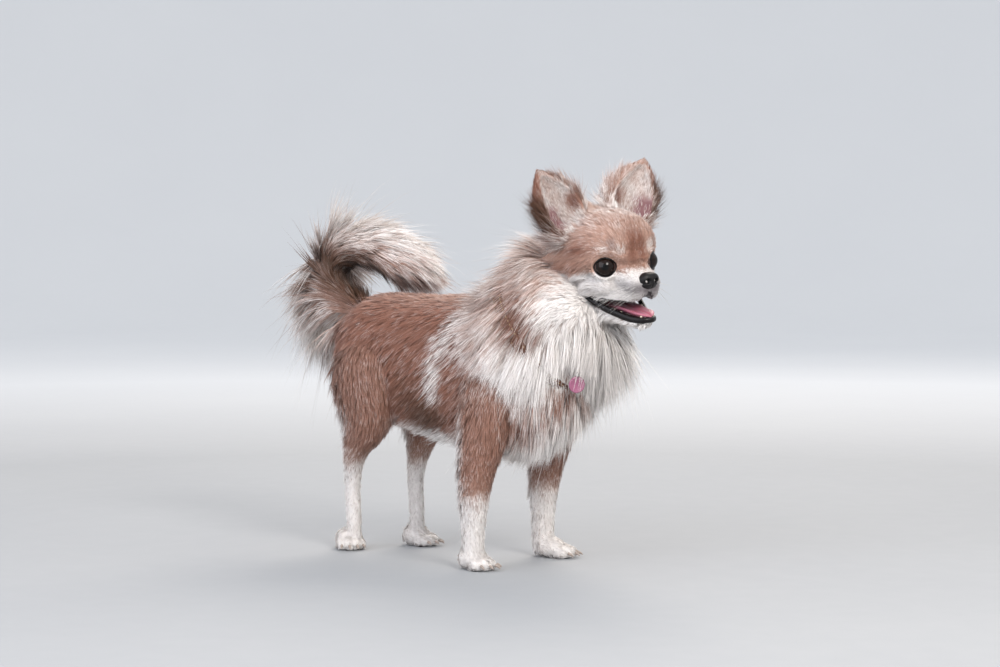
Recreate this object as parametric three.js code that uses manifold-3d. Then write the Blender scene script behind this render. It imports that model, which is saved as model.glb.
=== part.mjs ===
// A long-haired chihuahua, standing still with its mouth open and its tail curled over its back, at life size.
// Millimetres. +X points to the front of the body, +Y to the dog's left, +Z up.
// The finished group is moved so that its origin is under the middle of the whole dog, on the floor.
import * as THREE from "three";
import { mergeVertices } from "three/addons/utils/BufferGeometryUtils.js";
import Module from "manifold-3d";

const wasm = await Module();
wasm.setup();

// Driving dimensions
const WITHERS = 220; // floor to the top of the coat over the shoulders
const TRUNK = 250; // front of the chest to the rump
const CHEST_WIDE = 96; // across the ribs, coat included
const HEAD_LONG = 94; // back of the skull to the tip of the nose
const SKULL_WIDE = 76; // across the cheeks
const EYE_RADIUS = 8.6; // the eyeball
const EYES_APART = 41; // between the eyes' centres
const EAR_TALL = 52; // root to tip of an ear
const TAIL_CORE = 8.5; // half the thickness of the tail under its long hair
const COLLAR_WIDE = 9; // the strap
const COLLAR_THICK = 2.2;
const TAG_RADIUS = 6.5;
const RUFF_LONG = 50; // the locks of the neck, at its sides
const PLUME_LONG = 58; // the locks of the tail
const FRINGE_LONG = 24; // the locks of the ears, belly and legs

const GAP = 0.3; // clearance between touching pieces
const ROOM = 0.5; // the same where a piece is cut to the shape of another: smoothing takes some of it
const SLIVER = 0.25; // ridges and steps lower than this are smoothed away after a cut
const SEED = 7;

const LEFT = new THREE.Vector3(0, 1, 0);
const UP = new THREE.Vector3(0, 0, 1);
const DOWN = new THREE.Vector3(0, 0, -1);
const vec = (x, y, z) => new THREE.Vector3(x, y, z);
const mirrored = (v, s) => vec(v.x, v.y * s, v.z);
const radians = THREE.MathUtils.degToRad;

// Seeded random numbers, so that every run gives the same dog.
function randomFrom(seed) {
  let state = seed;
  return () => {
    state = (state * 1664525 + 1013904223) % 4294967296;
    return state / 4294967296;
  };
}
const random = randomFrom(SEED);
const vary = (value, share) => value * (1 + share * (2 * random() - 1));

// A form is a tube round a smooth line. Each row is a station along it:
// [x, y, z, half width to the side, reach to the front or top, reach to the back or bottom].
class Form {
  constructor(rows, { start = 0.2, end = 0.2, square = 2.2, side = LEFT, swells = [] } = {}) {
    const knots = [0];
    for (let i = 1; i < rows.length; i++) {
      const step = Math.hypot(...[0, 1, 2].map((k) => rows[i][k] - rows[i - 1][k]));
      knots.push(knots[i - 1] + step);
    }
    this.long = knots.at(-1);
    this.lines = new THREE.CubicInterpolant(
      knots.map((k) => k / this.long),
      rows.flat(),
      6,
    );
    Object.assign(this, { rows, start, end, square, side, swells });
  }

  // The same form, thicker all round.
  thicker(by) {
    const rows = this.rows.map(([x, y, z, ...reach]) => [x, y, z, ...reach.map((r) => r + by)]);
    return new Form(rows, this);
  }

  // The ends close as half rounds, over the shares start and end of the length.
  roundness(t) {
    const q = Math.min(1, t / this.start, (1 - t) / this.end);
    return Math.sqrt(Math.max(0, q * (2 - q)));
  }

  station(t) {
    const [x, y, z, wide, front, back] = this.lines.evaluate(t);
    return { at: vec(x, y, z), wide, front, back };
  }

  frame(t) {
    const step = 0.01;
    const before = this.station(Math.max(0, t - step)).at;
    const along = this.station(Math.min(1, t + step)).at.sub(before).normalize();
    const front = along.clone().cross(this.side).normalize();
    return { along, front, side: front.clone().cross(along) };
  }

  // The surface at share t of the length and angle a, where a = 0 is the side and a = 90 degrees the front.
  point(t, a) {
    const { at, wide, front, back } = this.station(t);
    const axes = this.frame(t);
    const c = Math.cos(a);
    const s = Math.sin(a);
    const n = this.square;
    const k = this.roundness(t) * (Math.abs(c) ** n + Math.abs(s) ** n) ** (-1 / n);
    const out = axes.side
      .multiplyScalar(c * k * wide)
      .addScaledVector(axes.front, s * k * (s > 0 ? front : back));
    const p = at.add(out);
    const away = out.lengthSq() > 0 ? out.clone().normalize() : axes.along;
    for (const swell of this.swells) {
      const far = p.distanceTo(swell.at) / swell.reach;
      p.addScaledVector(away, swell.push * Math.exp(-far * far));
    }
    return p;
  }

  // A place to root hair: the point, the way out of the surface and the way along the form.
  spot(t, a) {
    const small = 0.01;
    const at = this.point(t, a);
    const round = this.point(t, a + small).sub(this.point(t, a - small));
    const along = this.point(t + small, a).sub(this.point(t - small, a)).normalize();
    return { at, along, out: round.cross(along).normalize() };
  }

  // The surface from one share of the length to another, closed at both ends. Rounded ends get closer
  // rings than the middle.
  geometry(rings, sides, from = 0, to = 1) {
    const points = [this.station(from).at];
    let count = 0;
    for (let i = 0; i <= rings; i++) {
      const even = i / rings;
      const t = from + (to - from) * (0.45 * even + 0.55 * (0.5 - 0.5 * Math.cos(Math.PI * even)));
      if (this.roundness(t) < 0.01) continue;
      for (let j = 0; j < sides; j++) points.push(this.point(t, (2 * Math.PI * j) / sides));
      count++;
    }
    points.push(this.station(to).at);
    const faces = [];
    const id = (i, j) => 1 + i * sides + (j % sides);
    const last = points.length - 1;
    for (let j = 0; j < sides; j++) {
      faces.push(0, id(0, j + 1), id(0, j));
      for (let i = 0; i < count - 1; i++) {
        faces.push(id(i, j), id(i, j + 1), id(i + 1, j + 1));
        faces.push(id(i, j), id(i + 1, j + 1), id(i + 1, j));
      }
      faces.push(last, id(count - 1, j), id(count - 1, j + 1));
    }
    return meshOf(points, faces);
  }
}

function meshOf(points, faces) {
  const geometry = new THREE.BufferGeometry().setFromPoints(points);
  geometry.setIndex(faces);
  return geometry;
}

function solidOf(geometry) {
  const bare = geometry.clone();
  bare.deleteAttribute("normal");
  bare.deleteAttribute("uv");
  const merged = mergeVertices(bare, 1e-4);
  return new wasm.Manifold(
    new wasm.Mesh({
      numProp: 3,
      vertProperties: new Float32Array(merged.attributes.position.array),
      triVerts: new Uint32Array(merged.index.array),
    }),
  );
}

const largest = (solid) => solid.decompose().sort((a, b) => b.volume() - a.volume())[0];

// The largest closed body of a solid, as a geometry.
function geometryOf(solid) {
  const whole = largest(largest(solid).simplify(SLIVER));
  const { vertProperties, triVerts, numProp } = whole.getMesh();
  const positions = new Float32Array((vertProperties.length / numProp) * 3);
  for (let i = 0; i < positions.length / 3; i++)
    positions.set(vertProperties.subarray(i * numProp, i * numProp + 3), i * 3);
  return new THREE.BufferGeometry()
    .setAttribute("position", new THREE.BufferAttribute(positions, 3))
    .setIndex(new THREE.BufferAttribute(new Uint32Array(triVerts), 1));
}

const joined = (solids) => wasm.Manifold.union(solids);
const without = (solid, ...rooms) => rooms.reduce((rest, room) => rest.subtract(room), solid);

// The room that a piece needs in its neighbours: its own geometry, pushed out along the normals.
function roomFor(geometry) {
  const bare = geometry.clone();
  bare.computeVertexNormals();
  const { position, normal } = bare.attributes;
  for (let i = 0; i < position.count; i++) {
    const away = vec(0, 0, 0).fromBufferAttribute(normal, i).multiplyScalar(ROOM);
    position.setXYZ(i, position.getX(i) + away.x, position.getY(i) + away.y, position.getZ(i) + away.z);
  }
  return solidOf(bare);
}

// The room of the part of a form below a level.
const roomBelow = (form, z) => roomFor(form.geometry(14, 12)).trimByPlane([0, 0, -1], -z - GAP);

// The part of a solid that lies along the direction from each cutting plane [point, direction].
function between(solid, ...planes) {
  return planes.reduce((rest, [at, way]) => {
    const n = way.clone().normalize();
    return rest.trimByPlane(n.toArray(), n.dot(at) + GAP / 2);
  }, solid);
}

// A lock of hair is a flat blade that bends and tapers to a point. Its root is sunk in the form that it
// grows from. It runs along its lie, stands off the surface towards its tip and sags with its weight.
// Each step: [share of the length, share of the width, share of the thickness].
const LOCK_STEPS = [
  [0, 0.55, 1],
  [0.4, 1, 0.9],
  [0.8, 0.62, 0.6],
];
const LOCK_THICK = 1.3; // half of it, at the root
function lock({ at, out, lie, long, wide, stand, sag, sunk }, room = 0) {
  const path = (s) =>
    at
      .clone()
      .addScaledVector(out, stand * s ** 1.5 - sunk * (1 - s) ** 2)
      .addScaledVector(lie, long * s)
      .addScaledVector(DOWN, sag * s * s);
  const across = lie.clone().cross(out).normalize();
  const points = [];
  for (const [s, w, h] of LOCK_STEPS) {
    const p = path(s);
    const ahead = path(s + 0.04).sub(p).normalize();
    const off = across.clone().cross(ahead);
    if (s === 0) p.addScaledVector(ahead, -room);
    const half = wide * w + room;
    const thick = LOCK_THICK * h + room;
    points.push(
      p.clone().addScaledVector(across, half),
      p.clone().addScaledVector(off, thick),
      p.clone().addScaledVector(across, -half),
      p.clone().addScaledVector(off, -thick),
    );
  }
  const end = path(1);
  const last = end.clone().sub(path(LOCK_STEPS.at(-1)[0])).normalize();
  points.push(end.addScaledVector(last, room));
  const tip = points.length - 1;
  const faces = [0, 1, 2, 0, 2, 3];
  for (let i = 0; i < LOCK_STEPS.length; i++)
    for (let j = 0; j < 4; j++) {
      const a = i * 4 + j;
      const b = i * 4 + ((j + 1) % 4);
      if (i === LOCK_STEPS.length - 1) faces.push(a, tip, b);
      else faces.push(a, a + 4, b, b, a + 4, b + 4);
    }
  return solidOf(meshOf(points, faces));
}

// Locks in staggered rows over a patch of a form, from one share of its length to another and from one
// angle to another. style(spot, angle, share) gives each its sizes and the way it lies: along the surface
// with a hug of 1, straight off it with a hug of 0.
function locksOver(form, { from, to, rows, angles, inRow }, style) {
  const locks = [];
  for (let row = 0; row < rows; row++)
    for (let i = 0; i < inRow; i++) {
      const t = from + ((to - from) * (row + 0.5 + 0.3 * (random() - 0.5))) / rows;
      const share = (i + 0.5 + 0.4 * (random() - 0.5) + 0.25 * (row % 2 ? 1 : -1)) / inRow;
      const a = radians(angles[0] + (angles[1] - angles[0]) * share);
      const spot = form.spot(t, a);
      const { way, long, wide, hug = 1, stand = 0.2, sag = 0, sunk = 4 } = style(spot, a, t);
      way.normalize();
      const lie = way.addScaledVector(spot.out, -hug * way.dot(spot.out)).normalize();
      lie.applyAxisAngle(spot.out, 0.3 * (random() - 0.5));
      const length = vary(long, 0.16);
      locks.push({
        ...spot,
        lie,
        long: length,
        wide: vary(wide, 0.15),
        stand: vary(stand * length, 0.25),
        sag: sag * length,
        sunk,
      });
    }
  return locks;
}

// Joins locks to their core. A lock that meets a neighbour's room is bent further out until it is clear.
// One that stays in the way is cut there, and is left out if that parts it from the core.
const BENDS = [0, 0.08, 0.16, 0.24]; // extra stand, as shares of the lock's length
function withLocks(core, locks, rooms) {
  const pieces = [core];
  const taken = [];
  for (const one of locks) {
    const bent = BENDS.map((more) => ({ ...one, stand: one.stand + more * one.long }));
    const clear = bent.find((each) => {
      const solid = lock(each);
      return rooms.every((room) => solid.intersect(room).isEmpty());
    });
    const chosen = clear ?? bent[1];
    const whole = lock(chosen);
    const left = clear ? whole : largest(without(whole, ...rooms));
    if (!left || left.volume() < 0.6 * whole.volume() || left.intersect(core).isEmpty()) continue;
    pieces.push(left);
    taken.push(lock(chosen, ROOM));
  }
  return { solid: joined(pieces), room: joined(taken) };
}

// Torso: rump to chest. The rows are shares of the trunk's length, the withers' height and the chest's width.
const RUMP_X = -119;
const trunkRow = ([along, middle, wide, up, down]) => [
  RUMP_X + TRUNK * along,
  0,
  WITHERS * middle,
  (CHEST_WIDE / 2) * wide,
  WITHERS * up,
  WITHERS * down,
];
const torsoForm = new Form(
  [
    [0.0, 0.77, 0.76, 0.17, 0.19],
    [0.15, 0.76, 0.9, 0.225, 0.25],
    [0.4, 0.74, 0.92, 0.245, 0.31],
    [0.65, 0.73, 0.98, 0.26, 0.35],
    [0.85, 0.7, 1.0, 0.27, 0.33],
    [1.0, 0.66, 0.9, 0.24, 0.25],
  ].map(trunkRow),
  { start: 0.2, end: 0.24, square: 2.25 },
);

// Neck: chest to skull. Its front is the nape and its back the throat.
const HEAD_AT = vec(147, 18, 240.5);
const neckForm = new Form(
  [
    [62, 0, 146, 50, 44, 54],
    [86, 5, 176, 52, 48, 56],
    [108, 10, 204, 49, 50, 52],
    [130, 15, 228, 40, 46, 42],
  ],
  { start: 0.3, end: 0.2, square: 2.1 },
);
// Locks over the neck: short on the nape, longest and hanging at the throat.
const RUFF_ROWS = { from: 0.12, to: 0.97, rows: 5, angles: [0, 360], inRow: 10 };
function ruffStyle({ along }, a, t) {
  const nape = Math.max(0, Math.sin(a));
  const throat = Math.max(0, -Math.sin(a));
  const flank = Math.abs(Math.cos(a));
  const ahead = vec(1, 0.8 * Math.cos(a), 0).multiplyScalar(2 * throat * t);
  return {
    way: along.clone().negate().addScaledVector(DOWN, 0.3 + 0.5 * throat * (1 - t)).add(ahead),
    long: RUFF_LONG * (1 + 0.3 * throat * (1 - t) - 0.45 * flank),
    wide: 12.5,
    hug: 1 - 0.6 * throat * t - 0.3 * nape,
    stand: 0.16 + 0.2 * nape,
    sag: 0.14 * (1 - throat * t),
    sunk: 6,
  };
}

// Collar: a thin strap round the neck, lower in front, with a small round tag.
const COLLAR_AT = 0.46; // share of the neck's length, from the chest
const COLLAR_TILT = radians(16); // lower at the throat than square across the neck
const TAG_SIDE = radians(249); // round the neck, between its right side and its throat

// Head, in its own frame: the origin is at the eyes' level in the middle of the skull, +X to the nose.
const headTurn = new THREE.Euler(
  radians(6), // rolled, with its left side up
  radians(2), // nose a little down
  radians(-14), // turned to the dog's right
  "ZYX",
);
const headPlace = new THREE.Matrix4().makeRotationFromEuler(headTurn).setPosition(HEAD_AT);
const OCCIPUT_X = -42;
const headRow = ([along, middle, wide, up, down]) => [
  OCCIPUT_X + HEAD_LONG * along,
  0,
  middle,
  (SKULL_WIDE / 2) * wide,
  up,
  down,
];
const headForm = new Form(
  [
    [0.0, 12, 0.74, 24, 26],
    [0.16, 12, 0.92, 31, 34],
    [0.34, 11, 1.0, 33, 36],
    [0.5, 9, 0.97, 34, 34],
    [0.62, 5, 0.88, 32, 30],
    [0.69, -2, 0.68, 23, 23],
    [0.75, -8, 0.48, 12, 18],
    [0.84, -11.5, 0.38, 8.5, 14],
    [0.93, -13.5, 0.33, 7, 12.5],
    [0.98, -14.5, 0.28, 6, 10],
  ].map(headRow),
  {
    start: 0.22,
    end: 0.07,
    square: 2.15,
    swells: [1, -1].flatMap((s) => [
      { at: mirrored(vec(16, 21, 16), s), reach: 12, push: 1.6 }, // brow
      { at: mirrored(vec(4, 34, -18), s), reach: 16, push: 2.5 }, // cheek
      { at: mirrored(vec(44, 12, -19), s), reach: 9, push: 2.2 }, // upper lip
    ]),
  },
);

// Eyes: balls that look forwards and to the side, in sockets with a lid all round.
const EYE_AT = vec(21, EYES_APART / 2, 0);
const GAZE = vec(0.78, 0.62, 0.02).normalize();
const LID = { ring: 0.8 * EYE_RADIUS, thick: 1.5, forward: 0.6 * EYE_RADIUS, stretch: 1.12 };

// The mouth: a jaw that hangs open from under the ears, with a trough for the tongue between its lips.
const jawForm = new Form(
  [
    [-14, 0, -27, 24, 8, 12],
    [4, 0, -34, 21, 6, 10],
    [22, 0, -39, 15, 4, 7.5],
    [36, 0, -43, 11.5, 3.5, 6],
    [45.5, 0, -44.5, 9.5, 3, 5],
  ],
  { start: 0.15, end: 0.14, square: 2.3 },
);
const troughForm = new Form(
  [
    [8, 0, -30, 15, 8, 5],
    [22, 0, -34, 12, 8, 5.5],
    [34, 0, -38, 9, 8, 5],
    [44, 0, -40, 6.6, 8, 4.4],
  ],
  { start: 0.1, end: 0.2, square: 2.6 },
);
const tongueForm = new Form(
  [
    [4, 0, -30, 11, 2.5, 3],
    [20, 0, -34.5, 10, 2.4, 3],
    [34, 0, -38, 8.6, 2, 2.6],
    [47.5, 0, -40, 6.8, 1.6, 1.9],
  ],
  { start: 0.1, end: 0.2, square: 2.2 },
);
// The upper lip hangs over the edge of the muzzle from the corner of the mouth to under the nose.
const lipForm = (s) =>
  new Form(
    [
      [8, 21 * s, -20, 5.5, 3.5, 3.5],
      [22, 16.2 * s, -21.5, 5.5, 3.6, 3.6],
      [34, 11.2 * s, -22.5, 5.5, 4, 4],
      [43, 7 * s, -21, 4.8, 4, 4],
      [48.5, 3 * s, -18.5, 3.5, 3, 3],
    ],
    { start: 0.1, end: 0.1, square: 2, side: UP },
  );
// Lower teeth: [x, y, tall], from the front ones to the grinders.
const TEETH = [
  [46.4, 1.3, 1.6],
  [45.8, 3.6, 1.8],
  [44, 6.2, 3.4],
  [27, 12.4, 1.6],
  [21, 13.8, 2],
];
const TOOTH_ROOT = 4; // sunk in the gum
const GUM_Z = (x) => -42.5 + (45 - x) * 0.24;

const noseForm = new Form(
  [
    [44, 0, -11, 8.2, 5.2, 6.5],
    [48, 0, -11.2, 9, 5.6, 7.5],
    [53.5, 0, -12.2, 7.6, 4.6, 6.5],
  ],
  { start: 0.35, end: 0.6, square: 2.4 },
);
const NOSTRIL_AT = vec(53.2, 4, -12);
const NOSTRIL = vec(2.6, 1.7, 2.1); // half sizes

// Ears: thin cups that stand up and open outwards to the front. Built upright at the origin, then placed.
const EAR_ROOT = vec(-11, 27, 31);
const EAR_LEAN = radians(30); // outwards
const EAR_OPENS = { left: radians(-20), right: radians(8) }; // the turn about its own length
const earRow = ([up, lean, wide, front, back]) => [lean, 0, EAR_TALL * up, wide, front, back];
const earOuter = new Form(
  [
    [-0.16, 0, 19, 10, 9],
    [0.15, -1, 21.5, 9, 10],
    [0.45, -3, 20, 7, 9],
    [0.75, -4, 12.5, 4.5, 6],
    [1.0, -4, 3.4, 2, 2.6],
  ].map(earRow),
  { start: 0.06, end: 0.12, square: 2.1 },
);
const earInner = new Form(
  [
    [0.02, 12, 14, 11, 12],
    [0.18, 11, 18.5, 13, 14],
    [0.45, 8, 17.6, 12, 12.5],
    [0.75, 4, 10.5, 9, 8],
    [0.95, 1, 2.4, 5, 3.4],
  ].map(earRow),
  { start: 0.2, end: 0.1, square: 2.1 },
);
function earPlace(s) {
  const turn = new THREE.Euler(-s * EAR_LEAN, 0, s > 0 ? EAR_OPENS.left : EAR_OPENS.right, "XYZ");
  return new THREE.Matrix4().makeRotationFromEuler(turn).setPosition(mirrored(EAR_ROOT, s));
}

// Legs. Each row is [x, y, z, half width to the side, reach to the front, reach to the back].
const FOOT = {
  front_right: vec(66, -51, 0),
  front_left: vec(70, 42, 0),
  hind_right: vec(-94, -24, 0),
  hind_left: vec(-64, 27, 0),
};
const TOE_TURN = { front_right: -4, front_left: 20, hind_right: -36, hind_left: 8 }; // degrees to the left
const ELBOW_Z = 0.47 * WITHERS;
const WRIST_Z = 0.17 * WITHERS;
const KNEE_Z = 0.5 * WITHERS;
const HOCK_Z = 0.28 * WITHERS;
function frontLeg(foot) {
  const s = Math.sign(foot.y);
  const heel = foot.x - (s > 0 ? 9 : 0);
  return new Form(
    [
      [74, 26 * s, 168, 18, 28, 28],
      [72, 34 * s, 140, 20, 26, 26],
      [71, (foot.y + 38 * s) / 2, ELBOW_Z, 18, 21, 20],
      [heel + 3, foot.y, 0.32 * WITHERS, 14, 16, 15],
      [heel + 1, foot.y, WRIST_Z, 10.5, 12, 12],
      [heel, foot.y, 14, 10, 11, 10],
      [heel, foot.y, 0, 9, 10, 9],
    ],
    { start: 0.14, end: 0.03 },
  );
}
function hindLeg(foot) {
  const s = Math.sign(foot.y);
  const ahead = foot.x - FOOT.hind_right.x;
  const heel = foot.x + (s > 0 ? 0 : 5);
  return new Form(
    [
      [-74, 26 * s, 176, 20, 28, 24],
      [-67, 32 * s, 146, 22, 32, 29],
      [-62 + 0.25 * ahead, 32 * s, KNEE_Z, 18, 20, 27],
      [-80 + 0.65 * ahead, 29 * s, 0.37 * WITHERS, 11, 11, 15],
      [heel + 1, foot.y, HOCK_Z, 8, 8.5, 11],
      [heel + 1, foot.y, 0.13 * WITHERS, 7.6, 8.5, 8.5],
      [heel + 1, foot.y, 0, 8, 9, 8],
    ],
    { start: 0.14, end: 0.03 },
  );
}
const legForms = {
  front_right: frontLeg(FOOT.front_right),
  front_left: frontLeg(FOOT.front_left),
  hind_right: hindLeg(FOOT.hind_right),
  hind_left: hindLeg(FOOT.hind_left),
};

// A paw points along its own X axis and stands on a flat sole.
const PAW_TALL = 17;
// Toes: [x, y, size].
const TOES = [
  [11, -8.2, 0.88],
  [15, -3, 1],
  [15, 3, 1],
  [11, 8.2, 0.88],
];
function paw(name) {
  const palm = new Form(
    [
      [-11, 0, 7.5, 9.5, 9, 8],
      [0, 0, 8, 11, 9, 9],
      [11, 0, 6.2, 10.5, 6.5, 8],
    ],
    { start: 0.3, end: 0.3 },
  );
  const pieces = [solidOf(palm.geometry(4, 8))];
  for (const [x, y, size] of TOES) {
    const toe = new Form(
      [
        [x - 8, y * 0.8, 6.4, 4.6 * size, 4.6 * size, 8],
        [x, y, 5.6, 4.9 * size, 4.8 * size, 8],
        [x + 5, y * 1.06, 4.4, 4.2 * size, 3.6 * size, 8],
      ],
      { start: 0.3, end: 0.45 },
    );
    pieces.push(solidOf(toe.geometry(3, 5)));
    const claw = new Form(
      [
        [x + 2, y * 1.04, 5.6, 1.3, 1.3, 1.3],
        [x + 7, y * 1.1, 4.6, 1.1, 1.1, 1.1],
        [x + 9.5, y * 1.12, 2.4, 0.6, 0.5, 0.5],
      ],
      { start: 0.1, end: 0.2 },
    );
    pieces.push(solidOf(claw.geometry(2, 4)));
  }
  const turn = new THREE.Matrix4().makeRotationZ(radians(TOE_TURN[name]));
  turn.setPosition(FOOT[name]);
  return joined(pieces).trimByPlane([0, 0, 1], 0).transform(turn.toArray());
}

// Tail: up from the rump, over the back and a little to the left.
const tailForm = new Form(
  [
    [-88, 0, 184, 1.3, 1.3, 1.4],
    [-107, 0, 203, 1.5, 1.8, 1.2],
    [-127, 1, 217, 1.6, 2, 1],
    [-137, 3, 231, 1.6, 2, 1],
    [-127, 7, 243, 1.6, 2, 1],
    [-105, 13, 246, 1.6, 2, 1],
    [-81, 20, 240, 1.5, 1.8, 1],
    [-58, 28, 231, 0.9, 1, 0.8],
  ].map(([x, y, z, ...reach]) => [x, y, z, ...reach.map((share) => TAIL_CORE * share)]),
  { start: 0.05, end: 0.1, square: 2 },
);
// Shares of the tail's length between which each of its nodes lies.
const TAIL_LENGTHS = { tail_root: [0, 0.38], tail_middle: [0.38, 0.68], tail_tip: [0.68, 1] };
const TAIL_GAP = GAP / tailForm.long;
const PLUME_FROM = 0.14; // share of the length that is inside the rump
// Locks over the outer side and the flanks of the tail. They fan out, and those behind it hang.
function plumeStyle({ along, out }, a, t) {
  const flank = Math.abs(Math.cos(a));
  const above = Math.max(0, out.z);
  const hangs = Math.max(0, -out.x) * (1 - above);
  return {
    way: along.clone().addScaledVector(DOWN, 3 * hangs),
    long: PLUME_LONG * (0.78 - 0.12 * flank + 0.4 * hangs + 0.15 * t * t),
    wide: 10,
    hug: 1 - 0.4 * above * (1 - t) - 0.3 * hangs,
    stand: 0.22 + 0.2 * above * (1 - t * t) - 0.08 * hangs,
    sag: 0.04 + 0.2 * hangs,
    sunk: 5,
  };
}

const materials = {
  coat: new THREE.MeshStandardMaterial({ color: 0xb98a68, roughness: 0.85 }),
  cream: new THREE.MeshStandardMaterial({ color: 0xe8e2dc, roughness: 0.85 }),
  nose: new THREE.MeshStandardMaterial({ color: 0x14120f, roughness: 0.35 }),
  mouth: new THREE.MeshStandardMaterial({ color: 0x2a1f1e, roughness: 0.45 }),
  eye: new THREE.MeshStandardMaterial({ color: 0x0b0806, roughness: 0.05 }),
  tongue: new THREE.MeshStandardMaterial({ color: 0xc9708a, roughness: 0.4 }),
  strap: new THREE.MeshStandardMaterial({ color: 0x5a3a28, roughness: 0.6 }),
  tag: new THREE.MeshStandardMaterial({ color: 0xd9799b, roughness: 0.4 }),
};

const dog = new THREE.Group();
const headGroup = new THREE.Group();
headGroup.position.copy(HEAD_AT);
headGroup.rotation.copy(headTurn);
dog.add(headGroup);

function add(parent, name, solid, material) {
  const mesh = new THREE.Mesh(geometryOf(solid), materials[material]);
  mesh.name = name;
  parent.add(mesh);
}

// Head pieces, in the head's frame
function ball(at, radius) {
  return solidOf(new THREE.SphereGeometry(radius, 12, 8).translate(at.x, at.y, at.z));
}

function eyeLid(s) {
  const gaze = mirrored(GAZE, s);
  const ring = new THREE.TorusGeometry(LID.ring, LID.thick, 4, 12).scale(LID.stretch, 1, 1.2);
  const turn = new THREE.Matrix4().lookAt(gaze, vec(0, 0, 0), UP);
  const at = mirrored(EYE_AT, s).addScaledVector(gaze, LID.forward);
  return solidOf(ring.applyMatrix4(turn.setPosition(at)));
}

function nostril(s) {
  const hole = new THREE.SphereGeometry(1, 8, 6).scale(NOSTRIL.x, NOSTRIL.y, NOSTRIL.z);
  const { x, y, z } = mirrored(NOSTRIL_AT, s);
  return solidOf(hole.translate(x, y, z));
}

function tooth([x, y, tall], s) {
  const cone = new THREE.ConeGeometry(0.3 * tall + 0.9, tall + TOOTH_ROOT, 5).rotateX(Math.PI / 2);
  return solidOf(cone.translate(x, y * s, GUM_Z(x) + (tall - TOOTH_ROOT) / 2));
}

const SIDES = [1, -1]; // left, right
const backTo = (angle, s) => (s > 0 ? angle : 540 - angle); // an angle on the left, or its twin on the right
const headSkin = headForm.geometry(21, 20);
const noseSkin = noseForm.geometry(7, 12);
const tongueSkin = tongueForm.geometry(7, 10);
const jawSkin = jawForm.geometry(8, 14);
const lips = SIDES.map((s) => solidOf(lipForm(s).geometry(8, 6)));
const lipRooms = SIDES.map((s) => roomFor(lipForm(s).geometry(8, 6)));
const earSkin = (s) => earOuter.geometry(8, 14).applyMatrix4(earPlace(s));
const earRooms = SIDES.map((s) => roomFor(earSkin(s)));
const skullRoom = joined([roomFor(headSkin), ...lipRooms]);

// Cheeks and nape: locks from behind the jaw and round the back of the skull that lie over the neck.
const cheekStyle = ({ along }, a, t) => ({
  way: along.clone().negate().addScaledVector(DOWN, 0.9),
  long: FRINGE_LONG * (1.7 - 1.4 * t),
  wide: 6.5,
  stand: 0.24,
  sag: 0.1,
});
const napeStyle = (spot, a) => ({
  way: vec(-1, 0.5 * Math.cos(a), 0.9 * Math.sin(a) - 0.4),
  long: RUFF_LONG,
  wide: 10,
  hug: 0.25,
  stand: 0.1,
  sag: 0.12,
});
const headLocks = [
  ...SIDES.flatMap((s) =>
    locksOver(
      headForm,
      { from: 0.22, to: 0.54, rows: 2, angles: [backTo(298, s), backTo(358, s)], inRow: 3 },
      cheekStyle,
    ),
  ),
  ...locksOver(headForm, { from: 0.06, to: 0.24, rows: 2, angles: [-5, 185], inRow: 5 }, napeStyle),
];
const headCore = without(
  joined([solidOf(headSkin), ...SIDES.map(eyeLid), ...lips]),
  roomFor(noseSkin),
  ...SIDES.map((s) => ball(mirrored(EYE_AT, s), EYE_RADIUS + 1.5 * GAP)),
);
const head = withLocks(headCore, headLocks, [roomFor(jawSkin), ...earRooms]);
add(headGroup, "head", head.solid, "coat");
add(headGroup, "nose", without(solidOf(noseSkin), ...SIDES.map(nostril)), "nose");
for (const s of SIDES) {
  add(headGroup, s > 0 ? "eye_left" : "eye_right", ball(mirrored(EYE_AT, s), EYE_RADIUS), "eye");
}

const tongue = without(solidOf(tongueSkin), skullRoom);
const jaw = without(
  joined([
    solidOf(jawSkin).subtract(solidOf(troughForm.geometry(7, 10))),
    ...SIDES.flatMap((s) => TEETH.map((place) => tooth(place, s))),
  ]),
  skullRoom,
  roomFor(tongueSkin),
);
add(headGroup, "lower_jaw", jaw, "mouth");
add(headGroup, "tongue", tongue, "tongue");

// Ears, with a fringe down the outer edge and wisps up the inner one
const earRoomAll = [];
for (const s of SIDES) {
  const place = earPlace(s);
  const cup = solidOf(earInner.geometry(7, 12).applyMatrix4(place));
  const fringe = locksOver(
    earOuter,
    { from: 0.1, to: 0.5, rows: 2, angles: s > 0 ? [15, 85] : [165, 95], inRow: 2 },
    () => ({ way: vec(-1, 0.6 * s, -0.1), long: 1.4 * FRINGE_LONG, wide: 6, hug: 0.4, sag: 0.2, sunk: 1.8 }),
  );
  const wisps = locksOver(
    earOuter,
    { from: 0.12, to: 0.42, rows: 2, angles: s > 0 ? [150, 165] : [30, 15], inRow: 1 },
    ({ along }) => ({ way: along.clone(), long: 0.75 * FRINGE_LONG, wide: 3.2, stand: 0.4, sunk: 1.6 }),
  );
  const turned = [...fringe, ...wisps].map((one) => ({
    ...one,
    at: one.at.applyMatrix4(place),
    out: one.out.transformDirection(place),
    lie: one.lie.transformDirection(place),
  }));
  const bare = without(solidOf(earSkin(s)), cup, skullRoom, head.room);
  const ear = withLocks(bare, turned, [skullRoom, head.room]);
  earRoomAll.push(ear.room, roomFor(earSkin(s)));
  add(headGroup, s > 0 ? "ear_left" : "ear_right", ear.solid, "coat");
}

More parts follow.
